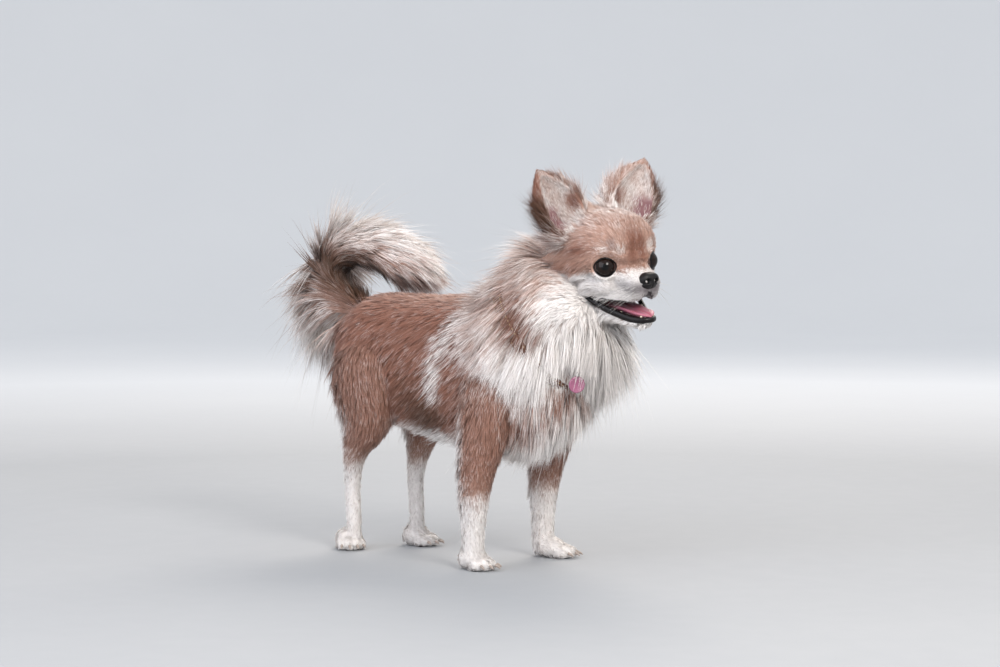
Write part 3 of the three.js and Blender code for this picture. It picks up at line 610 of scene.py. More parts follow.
skin_mesh.polygons.foreach_set("use_smooth", np.ones(len(skin_mesh.polygons), dtype=bool))
skin = bpy.data.objects.new("skin", skin_mesh)
bpy.context.scene.collection.objects.link(skin)
normals = np.empty(len(skin_mesh.vertices) * 3)
skin_mesh.vertices.foreach_get("normal", normals)
skin_out = normals.reshape(-1, 3)
print("skin smoothed; lowest point", round(skin_at[:, 2].min(), 2), "mm")

# %% [markdown]
# ## Where each bit of skin belongs
# The coat's length, lie and colour change from place to place. Every point of the skin looks up the nearest
# point of the forms that it was made from. That tells it which form it is on, how far along it and how far
# round it, which is the map that the coat is drawn on.

# %% Look up the nearest form
REGIONS = list(forms)
tables = []
for number, name in enumerate(REGIONS):
    form = forms[name]
    t, a = form.grid(40, 36)
    at = form.put(form.surface(t, a))
    along = form.put(form.surface(t, a) + form.axes(t)[0]) - at
    tables.append(np.column_stack([at, unit(along), t, a, np.full(len(t), number)]))
table = np.vstack(tables)
tree = KDTree(len(table))
for i, at in enumerate(table[:, :3]):
    tree.insert(at, i)
tree.balance()
nearest = np.array([tree.find(at)[1] for at in skin_at])
skin_along, skin_t, skin_a = table[nearest, 3:6], table[nearest, 6], table[nearest, 7]
skin_region = table[nearest, 8].astype(int)
print("looked up", len(nearest), "points among", len(table))

# %% [markdown]
# ## The style of the coat
# A dog's hair grows away from its nose. It lies back along the head and trunk, down the legs and neck, and
# falls from the tail. Lengths are in millimetres of hair, and lift is the angle at which it leaves the skin.

# %% Fields over the skin: the lie, length, lift, density and width of the hair
count = len(skin_at)
lie = np.zeros((count, 3))
length, lift, dense, wide, drop = (np.zeros(count) for _ in range(5))
sin_a, cos_a = np.sin(skin_a), np.cos(skin_a)
in_head = to_head(skin_at)
head_out = skin_out @ HEAD_TURN
TO_NOSE = HEAD_TURN[:, 0]


def on(*names):
    """True where the skin belongs to one of these forms."""
    return np.isin(skin_region, [REGIONS.index(name) for name in names])


def style(names, way, long, angle, density, width, hang=0.0):
    """Sets the fields on the skin of some forms. hang is how much the hair's own weight bends it."""
    here = on(*names)
    lie[here] = unit(way)[here]
    for field, value in ((length, long), (lift, angle), (dense, density), (wide, width), (drop, hang)):
        field[here] = np.broadcast_to(value, count)[here]


def add_ways(*shares):
    """Directions added up, each with its share. A share is one number or one for each point."""
    return sum(np.broadcast_to(k, count)[:, None] * np.broadcast_to(way, (count, 3)) for k, way in shares)


top, under, flank = np.maximum(sin_a, 0), np.maximum(-sin_a, 0), np.abs(cos_a)
t = skin_t
chest = ease(t, 0.8, 0.95) * (1 - top)
rump = 1 - ease(t, 0.0, 0.14)
style(
    ["torso"],
    add_ways((-1 + 0.9 * chest, skin_along), (0.95 * flank + 0.15 * under + 1.2 * chest + 1.1 * rump, DOWN)),
    10 + 4 * flank + 5 * under + 19 * chest,
    9 + 12 * chest + 6 * under,
    0.62,
    0.44,
    0.12 + 0.3 * chest,
)
ahead = np.column_stack([np.ones(count), 0.8 * cos_a, np.zeros(count)])
left_side = ease(cos_a, 0.4, 0.9)  # away from the turned head, where the ruff opens
fore = ease(t, 0.5, 0.92) * (1 - top) * (1 - ease(under, 0.5, 0.9))  # beside the cheek, where it lies close
chin = under * ease(t, 0.5, 0.8)
style(
    ["neck"],
    add_ways((-1, skin_along), (0.3 + 0.5 * under, DOWN), (2.2 * under * t, ahead)),
    (28 + 8 * under + 18 * chin + 14 * t * top + 8 * left_side) * (1 - 0.35 * fore),
    (15 + 10 * under + 22 * chin + 18 * top * t + 12 * left_side) * (1 - 0.5 * fore),
    0.9,
    0.44,
    0.3 - 0.15 * under * t,
)
nape = 1 - ease(t, 0.1, 0.34)
brow = top * ease(t, 0.3, 0.5)
falls = 0.75 * (1 - brow) * (1 - nape) * (1 - ease(t, 0.6, 0.8)) + (0.3 + 1.1 * flank) * nape
cheek_long, skull_long = 13 * (1 - top) * (1 - ease(t, 0.3, 0.85)), 2.5 * (1 - ease(t, 0.5, 0.72))
style(
    ["head"],
    add_ways((-1, skin_along), (falls, DOWN)),
    3.0 + 30 * nape * (0.5 + 0.5 * top) + cheek_long + skull_long,
    8 + 18 * nape * top + 7 * (1 - ease(t, 0.4, 0.6)),
    2.1 - 1.0 * nape,
    0.3 + 0.14 * nape,
    0.1 + 0.15 * nape,
)
jaw_ways = add_ways((-1 + 1.2 * (1 - t), skin_along), (0.5, DOWN))
style(["jaw"], jaw_ways, 4.5 + 17 * (1 - ease(t, 0.1, 0.8)), 16, 1.7, 0.36, 0.2)
# the ears' hollows: bare pink skin, painted darker as the shade inside the ear
shaded_ear_hollows = np.zeros(count)  # the bare pink skin inside the ears
for s, ear in ((1, "ear_left"), (-1, "ear_right")):
    edge = ease(flank, 0.7, 0.95) * (1 - ease(t, 0.6, 0.9))
    base = 1 - ease(t, 0.1, 0.4)
    tuft = base * np.maximum(0, -head_out[:, 0])  # the long hair behind the ear's root
    ways = add_ways((1 - 1.1 * tuft, skin_along), (-0.9 * edge - 0.9 * tuft, TO_NOSE), (1.1 * tuft, DOWN))
    style([ear], ways, 3.2 + 12 * edge + 22 * tuft, 8 + 22 * edge + 14 * tuft, 1.6, 0.3, 0.2 * base)
    hollow = ease(t, 0.04, 0.14) * (1 - ease(t, 0.4, 0.62)) * ease(cos_a * s, -0.2, 0.5)
    shaded_ear_hollows += hollow * on(ear + "_inside")
    ways = add_ways((1, skin_along), (0.35, skin_out))
    style([ear + "_inside"], ways, 3.5 + 2 * (1 - ease(t, 0, 0.5)), 14, 0.9 - 0.84 * hollow, 0.24)


def toes_of(leg):
    return [leg + "_palm"] + [f"{leg}_toe_{i}" for i in range(len(TOES))]


for leg in FOOT:
    behind = ease(under, 0.45, 0.9)
    if leg.startswith("front"):
        long = 4.5 + 6 * (1 - ease(t, 0.3, 0.6)) + 9 * behind * (1 - ease(t, 0.62, 0.85))
    else:
        long = 4.5 + 6 * (1 - ease(t, 0.3, 0.55)) + 12 * behind * (1 - ease(t, 0.35, 0.6))
    style([leg], add_ways((1, skin_along), (-0.35 * behind, FORWARD)), long, 10 + 8 * behind, 1.1, 0.46, 0.1)
    style(toes_of(leg), add_ways((1, rotation(TOE_TURN[leg], "Z") @ FORWARD), (0.4, DOWN)), 4, 12, 2, 0.36)
hangs = np.maximum(0, -skin_out[:, 0]) * (1 - np.maximum(0, skin_out[:, 2]))
plume = 1 - ease(t, 0.3, 0.45)  # the hair that hangs from the tail's rising half
# Where the lie turns from up the tail to down, the hair stands out, so that it doesn't pinch in.
parting = 26 * np.exp(-(((hangs - 0.26) / 0.14) ** 2)) * ease(-skin_out[:, 0], -0.1, 0.2)
style(
    ["tail"],
    add_ways((1, skin_along), (3.6 * hangs, DOWN)),
    14 + 20 * ease(sin_a, -0.5, 0.5) + (34 + 16 * plume) * hangs + 8 * t,
    22 + 8 * top * (1 - t) - 12 * hangs * (1 - plume) + 34 * plume * hangs + parting,
    1.5,
    0.6,
    0.25 + (0.5 + 0.6 * plume) * hangs,
)
print("mean length", round(length.mean(), 1), "mm, longest", round(length.max(), 1), "mm")

# %% Bare places: the eyes, nose, mouth and soles
eye_gap = beyond_eyes(in_head)
NOSE_AT = np.array([49, 0, -12])
nose_gap = np.linalg.norm((in_head - NOSE_AT) / [1, 1, 0.8], axis=1) - 8.5
hx, hy, hz = in_head.T
from_middle = np.abs(hy)
palate = on("head") & (head_out[:, 2] < -0.35) & (from_middle < 25 - 0.42 * hx) & (hx > -6) & (hz < -22)
jaw_top = on("jaw") & (head_out[:, 2] > 0.3) & (from_middle < 21 - 0.3 * hx)
lip_low = np.interp(hx, [0.5, 11, 26, 40, 48], [-23.4, -34, -41.2, -44, -43])
opening = (hx > 0.5) & (hz < -23.2 - 0.1 * hx) & (hz > lip_low) & (from_middle < 28)
lip_line = np.interp(hx, [0, 12, 25, 35, 42, 48], [25, 21.5, 16, 11, 7, 3]) - 0.8
within = (from_middle < lip_line) & (hz < -20.5) & (hz > lip_low + 1.5) & (hx > 0)
mouth = np.where(palate | jaw_top | within | opening, 1.0, 0.0)
by_eye, by_nose, sole = 1 - ease(eye_gap, 0.6, 1.8), 1 - ease(nose_gap, 0, 1), 1 - ease(skin_at[:, 2], 0.5, 2)
bare = np.maximum.reduce([mouth, by_eye, by_nose, sole])
dense *= 1 - bare
length *= 0.3 + 0.7 * ease(np.minimum(eye_gap, nose_gap + 2), 1, 14)
by_mouth = ease(hx, -26, -4) * ease(hz, -50, -38) * on("neck")
length += by_mouth * (8 - length)
lift += by_mouth * (10 - lift)
lie += by_mouth[:, None] * (-TO_NOSE + 0.5 * DOWN - lie)
TAG_AT = 1000 * np.mean(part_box("collar_tag"), axis=0) - SHIFT
tx, ty, tz = (skin_at - TAG_AT).T
parted = np.exp(-((np.hypot(tx, ty) / 17) ** 2)) * ease(tz, -2, 4) * (1 - ease(tz, 30, 44))
parted = parted * on("neck", "torso", "jaw")  # the hair over the tag is short and shows it
length += parted * (7 - length)
lift += parted * (8 - lift)
print("bare skin:", int((bare > 0.5).sum()), "points")

# %% Even out the lie and the lengths, so that one form's coat runs into the next
WAVES = np.array([[0.21, 0.13, -0.17], [0.16, -0.22, 0.12], [-0.19, 0.15, 0.24]])  # 2 to 3 cm long
waves = np.sin(skin_at @ WAVES + [0.4, 2.1, 4.4])
shaggy = ease(length, 12, 30)[:, None]
lie += 0.26 * shaggy * (waves + 0.7 * np.roll(waves, 1, axis=1) * waves)
length *= 1 + 0.14 * shaggy[:, 0] * waves[:, 1]
lie -= skin_out * np.sum(lie * skin_out, axis=1)[:, None]
fields = np.column_stack([lie, length, lift, drop])
on_face = ease(hx, -16, 2) * ease(hz, -50, -40)


def evened(values, rounds, fine_rounds, keep_at):
    """Values smoothed over the skin, only for the first rounds where keep_at is 1."""
    for i in range(rounds):
        share = 0.7 * (1 if i < fine_rounds else 1 - keep_at[:, None])
        values = values + share * (neighbours_mean(values, edges, degree) - values)
    return values


fields = evened(fields, 36, 8, np.maximum(on_face, near_floor))
lie = unit(fields[:, :3] - skin_out * np.sum(fields[:, :3] * skin_out, axis=1)[:, None])
length, lift, drop = fields[:, 3], np.radians(fields[:, 4]), fields[:, 5]
print("the coat's fields are smooth over", count, "points")

# %% [markdown]
# ## Markings
# The coat is fawn on the back, darker low on the flank and at the root of the tail, and cream on the chest,
# throat, cheeks, belly and lower legs. Four masks say how cream, how dark, how rusty and how ash-grey each
# place is; the grey also paints shade on the cheeks and the sides of the muzzle. They are written as soft
# shapes over the forms, and the skin and the hair read the same ones.

# %% Four masks: cream, dark, rusty, and ash with painted shade
x, y, z = (skin_at + 0.55 * length[:, None] * (lie + 0.3 * DOWN)).T  # about where a tuft's middle lies


def spot(at, size):
    """A soft blob on both flanks: 1 at its middle, falling to 0 over its size in x, y and z."""
    far = np.linalg.norm((np.column_stack([x, -np.abs(y), z]) - at) / size, axis=1)
    return np.exp(-far * far)


def together(*blobs):
    """Blobs added up, but nowhere more than 1."""
    return np.clip(sum(blobs), 0, 1)


cream, dark, rusty, ash_and_shade = (np.zeros(count) for _ in range(4))
body = on("torso")
cream[body] = np.maximum(ease(under, 0.62, 0.92) * ease(t, 0.2, 0.5), 0.9 * ease(t, 0.84, 0.95) * under)[body]
STRIPE = [(60, 203), (48, 198), (36, 190), (26, 178), (19, 163), (14, 148), (12, 134)]  # behind the shoulder
stripe = together(*(spot((px, -44, pz), (7.5, 30, 10)) for px, pz in STRIPE))
shoulder_streaks = 0.5 * spot((46, -48, 168), (13, 30, 22)) + 0.55 * spot((78, -50, 150), (14, 30, 20))
shoulder_cream = 0.68 * stripe + shoulder_streaks * (1 - stripe)
cream = np.maximum(cream, shoulder_cream * (body | on("front_right", "front_left")))
low_flank = together(spot((4, -30, 112), (26, 34, 15)), 0.5 * spot((-18, -36, 132), (24, 34, 24)))
dark = np.maximum(dark, 0.8 * low_flank * body)
dark = np.maximum(dark, 0.4 * spot((27, -42, 178), (7, 30, 20)) * body)
rusty[body] = (0.3 + 0.6 * ease(flank, 0.2, 0.8))[body]
rusty = np.maximum(rusty, 0.9 * spot((-85, -30, 180), (26, 34, 26)) * body)
neck = on("neck")
throat_side = ease(-sin_a, -0.2, 0.4)
cream[neck] = (0.42 + 0.58 * throat_side)[neck]
BROWN = [
    # where and size of the brown on the side of the neck
    ((96, -42, 198), (9, 30, 22)),
    ((108, -38, 186), (11, 30, 14)),
    ((112, -38, 172), (16, 30, 8)),
    ((68, -42, 205), (7, 30, 14)),
]
brown_side = together(*(spot(*blob) for blob in BROWN)) * (body | neck)
rusty = np.maximum(rusty, brown_side)
cream = cream * (1 - 0.6 * brown_side)
dark = np.maximum(dark, 0.3 * brown_side)
ash_and_shade = np.maximum(ash_and_shade, 0.22 * spot((126, -24, 186), (16, 30, 12)) * neck)
head = on("head")
cheeks = ease(-hz - 0.12 * np.minimum(hx, 20), -1, 4) * head
muzzle = ease(hx, 33, 40) * ease(-hz, 8, 13) * head
nape_pale = (1 - ease(hx, -34, -16)) * 0.6 * head
cream = np.maximum.reduce([cream, 0.95 * cheeks, muzzle, nape_pale, on("jaw") * 1.0])
side = np.column_stack([hx, np.abs(hy), hz])


def face_spots(blobs):
    """Soft blobs on both sides of the face. Each has its place and size in the head, and its share."""
    blobs = [(np.linalg.norm((side - at) / size, axis=1), share) for at, size, share in blobs]
    return together(*(share * np.exp(-far * far) * head for far, share in blobs))


RUSTY_FACE = [
    ((10, 31, 15), (10, 12, 5.5), 1.0),  # over the outer half of the eye
    ((-2, 34, 3), (14, 12, 4), 0.9),  # back from the outer corner
    ((34, 3, 18), (9, 5.5, 10), 1.0),  # between the brows
    ((35, 5, 6), (8, 5, 6), 0.8),  # the bridge
    ((33, 12, -3), (5, 4, 4), 0.6),  # under the inner corner
    ((-12, 30, 26), (12, 12, 10), 0.2),  # the temple
]
PALE_FACE = [
    ((36, 15, 11), (4.5, 4.5, 5), 0.95),  # inside the brow
    ((27, 25, 14), (7, 5, 3), 0.75),  # over the eye
    ((8, 0, 34), (24, 30, 18), 0.46),  # the crown
    ((19, 28, -9), (8, 8, 4), 0.8),  # under the eye
]
DARK_FACE = [
    ((20, 29, 1), (3.5, 4, 1.6), 0.9),  # the outer corner of the eye
    ((35, 13, 3), (3, 3, 2.6), 0.9),  # the inner corner
    ((8, 33, 0), (10, 10, 1.3), 0.6),  # the line back from the eye
    ((-24, 26, 12), (7, 12, 7), 0.5),  # before the ear
    ((51, 3, -19.5), (4, 4, 4), 0.8),  # under the nose
]
ASH_AND_SHADE_FACE = [
    ((32, 21, 16), (3.6, 4, 3.2), 0.75),  # the brow's edge
    ((47, 8, -17), (7, 6, 6), 0.75),  # beside the nose
    ((51, 2, -20), (5, 5, 5), 0.9),  # the lip's middle
    ((38, 13, -17), (9, 6, 5), 0.35),  # the roots of the whiskers
    ((10, 0, 32), (22, 28, 18), 0.12),  # the crown
    # painted shade: the cheek and the muzzle's side are greyed where shade falls on them
    ((4, 30, -14), (22, 14, 9), 0.24),  # the cheek
    ((34, 14, -17), (12, 10, 7), 0.3),  # the muzzle's side
]
rust_face = face_spots(RUSTY_FACE)
rusty = np.maximum(rusty, rust_face)
cream = np.maximum(cream * (1 - 0.9 * rust_face), face_spots(PALE_FACE))
dark = np.maximum(dark, face_spots(DARK_FACE))
ash_and_shade = np.maximum(ash_and_shade, face_spots(ASH_AND_SHADE_FACE))
for s, ear in ((1, "ear_left"), (-1, "ear_right")):
    back, inside = on(ear), on(ear + "_inside")
    outer_edge = ease(cos_a * s, 0.3, 0.8)
    dark[back] = (0.8 * outer_edge * ease(t, 0.12, 0.3) * (1 - ease(t, 0.55, 0.8)))[back]
    rusty[back] = (0.35 + 0.6 * outer_edge)[back]
    cream[back] = (0.3 + 0.5 * (1 - ease(t, 0.1, 0.4)) - 0.3 * outer_edge)[back]
    inner_base = ease(-cos_a * s, 0.2, 0.7) * ease(t, 0.08, 0.18) * (1 - ease(t, 0.32, 0.5))
    cream[inside] = (0.62 - 0.5 * inner_base)[inside]
    rusty[inside] = inner_base[inside]
    ash_and_shade[inside] = 0.22
for leg in FOOT:
    here = on(leg)
    sock = 1 - ease(z, 34, 76) if leg.startswith("front") else 1 - ease(z, 52, 92)
    behind_cream = 0.75 * ease(-sin_a, 0.2, 0.8) * (1 - ease(z, 90, 140))
    cream[here] = np.maximum.reduce([sock, behind_cream, 0.6 * shoulder_streaks])[here]
    rusty[here] = (0.65 * (1 - sock))[here]
    dark[here] = (0.2 * (1 - sock))[here]
    cream[on(*toes_of(leg))] = 1
tail = on("tail")
cream[tail] = (0.14 + 0.6 * ease(np.maximum(sin_a, hangs), 0.0, 0.8) - 0.2 * (1 - ease(t, 0.0, 0.3)))[tail]
charcoal = 0.7 * np.exp(-(((t - 0.36) / 0.1) ** 2)) * (1 - 0.5 * top)  # the dark bend of the tail
inner_side = 0.9 * (1 - ease(sin_a, -0.5, 0.4)) * ease(t, 0.02, 0.12) * (1 - ease(t, 0.62, 0.85))
dark[tail] = np.maximum(inner_side, charcoal)[tail]
rusty[tail] = (0.9 * (1 - ease(sin_a, -0.4, 0.5)))[tail]
masks = np.clip(evened(np.column_stack([cream, dark, rusty, ash_and_shade]), 24, 3, fine), 0, 1)
print("cream over", round(float((masks[:, 0] > 0.5).mean()), 2), "of the skin")

# %% [markdown]
# ## Guide hairs
# A few thousand guides are combed first. Each one starts along the lie of the skin under it, is carried on by
# its own stiffness, bends under its weight and is pushed back out wherever it would run into the body. The
# hairs of the coat then follow the guides near them, which is how neighbouring hairs come to part and gather.

# %% Comb the guides
GUIDE_SPACING = 3.6  # millimetres between guides
STEPS = 8
quads = np.array([list(p.vertices) for p in skin_mesh.polygons])
first, second, third, fourth = (skin_at[quads[:, k]] for k in range(4))
areas = 0.5 * np.linalg.norm(np.cross(third - first, fourth - second), axis=1)
surface_tree = BVHTree.FromPolygons(skin_at.tolist(), quads.tolist())
face_lie, face_out = lie[quads].mean(axis=1), unit(skin_out[quads].mean(axis=1))


def scatter(weights, number):
    """Roots on the skin, drawn by the faces' weights, with the four shares that mix a face's corners."""
    chosen = random.choice(len(quads), number, p=weights / weights.sum())
    u, v = random.random(number), random.random(number)
    shares = np.column_stack([(1 - u) * (1 - v), u * (1 - v), u * v, (1 - u) * v])
    return chosen, shares


def mixed(field, chosen, shares):
    return np.einsum("ij,ij...->i...", shares, field[quads[chosen]])


def comb(roots, out, way, long, angle, weight):
    """The paths of guides, step by step. Each keeps the height over the skin that its lift asks for."""
    heading = unit(way * np.cos(angle)[:, None] + out * np.sin(angle)[:, None])
    at = roots.copy()
    path = [at.copy()]
    for step in range(1, STEPS + 1):
        share = step / STEPS
        at = at + heading * (long / STEPS)[:, None]
        found = [surface_tree.find_nearest(p) for p in at]
        ground = np.array([f[0] for f in found])
        face = np.array([f[2] for f in found])
        up = face_out[face]
        height = np.sum((at - ground) * up, axis=1)
        least = np.minimum(0.4 + 0.55 * long * np.sin(angle) * share, 0.8 + 0.25 * long)
        at = at + up * np.maximum(least - height, 0)[:, None]
        near = np.exp(-np.maximum(height, 0) / 9)
        flat = face_lie[face] - up * np.sum(face_lie[face] * up, axis=1)[:, None]
        heading = heading + 0.35 * near[:, None] * flat + DOWN * (weight * 0.45 * share)[:, None]
        heading = unit(heading)
        path.append(at.copy())
    return np.stack(path, axis=1)


guides = int(areas.sum() / GUIDE_SPACING**2)
chosen, shares = scatter(areas * (dense[quads].mean(axis=1) > 0.02), guides)
guide_root = mixed(skin_at, chosen, shares)
guide_long = mixed(length, chosen, shares) * random.uniform(0.85, 1.12, guides)
guide_way = unit(mixed(lie, chosen, shares) + random.normal(0, 0.2, (guides, 3)))
guide_path = comb(
    guide_root,
    unit(mixed(skin_out, chosen, shares)),
    guide_way,
    guide_long,
    mixed(lift, chosen, shares) * random.uniform(0.6, 1.4, guides),
    mixed(drop, chosen, shares),
)
guide_tree = KDTree(guides)
for i, at in enumerate(guide_root):
    guide_tree.insert(at, i)
guide_tree.balance()
print(guides, "guides, longest", round(float(guide_long.max()), 1), "mm")

# %% [markdown]
# ## The coat
# Each tuft is a narrow ribbon, bent along its path and pointed at its tip. Long hair has four bends and short
# hair two. A tuft begins like its nearest guide, and closes in on it towards the tip, as damp or oily hair does.
# Ribbons stand in for bundles of real hair, which are finer than a tenth of a millimetre.

# %% Grow one piece of coat
COLUMNS = 8  # of the unwrap, one cell for each form
PATCH = 0.0015  # half the size of a tuft's patch on the unwrap
ROOM = 6  # millimetres that the hair may go past the frame's box


def unwrap(region, t, a):
    """The place of a root on the unwrap: each form is one cell, its length up and its round across."""
    cell = 1 / COLUMNS
    u = (region % COLUMNS + 0.05 + 0.9 * (a % (2 * np.pi)) / (2 * np.pi)) * cell
    v = (region // COLUMNS + 0.05 + 0.9 * t) * cell
    return np.column_stack([u, v])


BOX_LOW, BOX_HIGH = (1000 * np.array(corner) - SHIFT + way * ROOM for corner, way in zip(cad_box, (-1, 1)))


def follow(chosen, shares, bends, clump, curl, stray):
    """Paths of tufts that start at their own roots and follow the guides nearest to them."""
    roots = mixed(skin_at, chosen, shares)
    near = np.array([guide_tree.find(p)[1] for p in roots])
    own = mixed(length, chosen, shares) * random.uniform(0.72, 1.15, len(roots)) * (1 + 0.35 * stray)
    share = np.linspace(0, 1, bends + 1)
    at = share * STEPS
    low = np.minimum(at.astype(int), STEPS - 1)
    guide = guide_path[near]
    guide = guide[:, low] + (guide[:, low + 1] - guide[:, low]) * (at - low)[:, None]
    guide = guide - guide[:, :1]
    ratio = np.clip(own / guide_long[near], 0.3, 2.2)
    apart = roots - guide_root[near]
    hold = 1 - clump * share**1.5
    path = guide_root[near][:, None] + guide * ratio[:, None, None] + apart[:, None] * hold[:, None]
    out = unit(mixed(skin_out, chosen, shares))
    spread = random.normal(0, 1, (len(roots), 1, 3)) * (curl * own)[:, None, None] * (share**1.4)[:, None]
    rise = random.uniform(-0.02, 0.14 + 0.3 * stray, len(roots)) * own
    path = path + spread + out[:, None] * (rise[:, None] * share**0.8)[:, :, None]
    path[..., 2] = np.maximum(path[..., 2], 0.3)
    past = np.maximum(path - BOX_HIGH, BOX_LOW - path).max(axis=(1, 2))
    shrink = np.clip(1 - np.maximum(past, 0) / (0.6 * own), 0.25, 1)[:, None, None]
    path = path[:, :1] + (path - path[:, :1]) * shrink
    return path, out, own


def write_colours(mesh, name, columns):
    """Writes four values, each one number or one for each point, as a colour of the mesh's points."""
    values = np.column_stack([np.broadcast_to(c, len(mesh.vertices)) for c in columns])
    attribute = mesh.attributes.new(name, "FLOAT_COLOR", "POINT")
    attribute.data.foreach_set("color", values.astype(np.float32).ravel())


def ribbons(name, slot, faces_in, number, bends=4, clump=0.5, curl=0.05, width=1.0, stray=0.0):
    """Grows one piece of the coat on the faces that are given."""
    weights = areas * dense[quads].mean(axis=1) * faces_in
    chosen, shares = scatter(weights, number)
    path, out, own = follow(chosen, shares, bends, clump, curl, stray)
    ahead = unit(np.gradient(path, axis=1))
    side = unit(np.cross(ahead, out[:, None]))
    twist = random.normal(0, 0.45, len(path))[:, None, None]
    side = side * np.cos(twist) + np.cross(ahead, side) * np.sin(twist)
    half = mixed(wide, chosen, shares) * width * random.uniform(0.7, 1.3, len(path)) / 2
    share = np.linspace(0, 1, bends + 1)
    taper = (0.75 + 0.5 * np.sin(np.pi * np.minimum(share * 1.25, 1))) * (1 - share**2.2)
    to_side = side[:, :-1] * (half[:, None] * taper[:-1])[:, :, None]
    each = 2 * bends + 1  # points of a tuft: two at every step and one at the tip
    points = np.empty((len(path), each, 3))
    points[:, 0:-1:2], points[:, 1:-1:2] = path[:, :-1] + to_side, path[:, :-1] - to_side
    points[:, -1] = path[:, -1]
    pattern = []
    for k in range(bends - 1):
        pattern += [(2 * k, 2 * k + 1, 2 * k + 3), (2 * k, 2 * k + 3, 2 * k + 2)]
    pattern.append((2 * bends - 2, 2 * bends - 1, 2 * bends))
    pattern = np.array(pattern)[:, ::-1]
    faces_of = ((np.arange(len(path)) * each)[:, None, None] + pattern).reshape(-1, 3)
    mesh = bpy.data.meshes.new(name)
    mesh.vertices.add(len(path) * each)
    mesh.loops.add(len(faces_of) * 3)
    mesh.polygons.add(len(faces_of))
    mesh.vertices.foreach_set("co", metres(points.reshape(-1, 3)).ravel())
    mesh.loops.foreach_set("vertex_index", faces_of.ravel())
    mesh.polygons.foreach_set("loop_start", np.arange(len(faces_of)) * 3)
    mesh.polygons.foreach_set("use_smooth", np.ones(len(faces_of), dtype=bool))
    mesh.update(calc_edges=True)
    along = np.concatenate([np.repeat(share[:-1], 2), [1.0]])
    tint = np.repeat(mixed(masks, chosen, shares), each, axis=0)
    luck = np.repeat(random.random(len(path)), each)
    write_colours(mesh, "markings", [tint[:, 0], tint[:, 1], np.tile(along, len(path)), luck])
    write_colours(mesh, "tints", [tint[:, 2], tint[:, 3], 0, 1])
    corner = quads[chosen][:, 0]
    root_uv = unwrap(skin_region[corner], skin_t[corner], skin_a[corner])
    patch = np.column_stack([np.tile([-PATCH, PATCH], bends).tolist() + [0.0], (along * 2 - 1) * PATCH])
    uv = (root_uv[:, None] + patch[None]).reshape(-1, 2)
    layer = mesh.uv_layers.new(name="OFBake")
    layer.data.foreach_set("uv", uv[faces_of.ravel()].ravel())
    up = unit(0.75 * out[:, None] + 0.25 * np.cross(side, ahead))
    soft = np.repeat(up, 2, axis=1)[:, :each]
    mesh.normals_split_custom_set_from_vertices(soft.reshape(-1, 3).tolist())
    piece = bpy.data.objects.new(name, mesh)
    bpy.context.scene.collection.objects.link(piece)
    coat.append((piece, slot))
    print(name, len(faces_of), "triangles, mean length", round(float(own.mean()), 1), "mm")


coat = []  # each piece of the coat with its slot

# %% [markdown]
# ## Grow the coat
# The flesh is covered in five coats of different hair, and a thin layer of stray wisps breaks their outline.
# The head, ears and paws have the shortest and finest tufts, so that the form of the face shows. The flank's
# tufts are longer and lie flat. The ruff and the tail have the longest. No piece has more than 200,000
# triangles, so the larger coats are grown in two pieces.

# %% The pieces of the coat
def share_on(*names):
    return on(*names)[quads].mean(axis=1)


TOE_NAMES = [name for leg in FOOT for name in toes_of(leg)]
EAR_NAMES = [name + part for name in ("ear_left", "ear_right") for part in ("", "_inside")]
COATS = [
    # name, slot, forms, tufts, pieces, bends, clump, curl, width
    ("coat_body", "fawn_coat", ["torso"], 36000, 2, 3, 0.26, 0.05, 1.0),
    ("coat_ruff", "cream_coat", ["neck"], 26000, 2, 4, 0.4, 0.08, 1.0),
    ("coat_head", "fawn_coat", ["head", "jaw", *EAR_NAMES], 34000, 2, 3, 0.3, 0.07, 1.0),
    ("coat_tail", "tail_coat", ["tail"], 27000, 1, 4, 0.5, 0.07, 1.0),
    ("coat_legs", "cream_coat", [*FOOT, *TOE_NAMES], 60000, 1, 2, 0.4, 0.05, 0.8),
]
for name, slot, names, tufts, pieces, bends, clump, curl, width in COATS:
    for i in range(pieces):
        ribbons(f"{name}_{i}", slot, share_on(*names), tufts, bends, clump, curl, width)
fringe = np.clip(length / 14, 0, 1) * (1 - on(*FOOT, "torso") * 0.7)
fringe += 14 * on("ear_left", "ear_right") * ease(flank, 0.7, 0.95) * (1 - ease(t, 0.7, 0.9))
ribbons("coat_wisps", "cream_coat", fringe[quads].mean(axis=1), 9000, 4, 0.1, 0.13, 0.5, 1.0)
print("coat:", sum(len(piece.data.polygons) for piece, _ in coat), "triangles")

# %% [markdown]
# ## Finishes
# Colours are written as they look on a screen and turned into the linear values that light is reckoned in.
# The coat's pattern comes from the masks, broken up by a noise a centimetre across and by each tuft's luck, and each
# tuft is painted darker towards its root as shade.

# %% Helpers for node materials
def linear(code):
    """A screen colour, written #RRGGBB, as linear values."""
    values = [int(code[i : i + 2], 16) / 255 for i in (1, 3, 5)]
    return (*(v / 12.92 if v <= 0.04045 else ((v + 0.055) / 1.055) ** 2.4 for v in values), 1.0)


def add(tree, kind, settings=None, links=None):
    """Adds a node. Settings are its own choices or its inputs' values, and links go to its inputs."""
    node = tree.nodes.new(kind)
    for key, value in (settings or {}).items():
        if isinstance(key, str) and hasattr(node, key):
            setattr(node, key, value)
        else:
            node.inputs[key].default_value = value
    for key, output in (links or {}).items():
        tree.links.new(output, node.inputs[key])
    return node


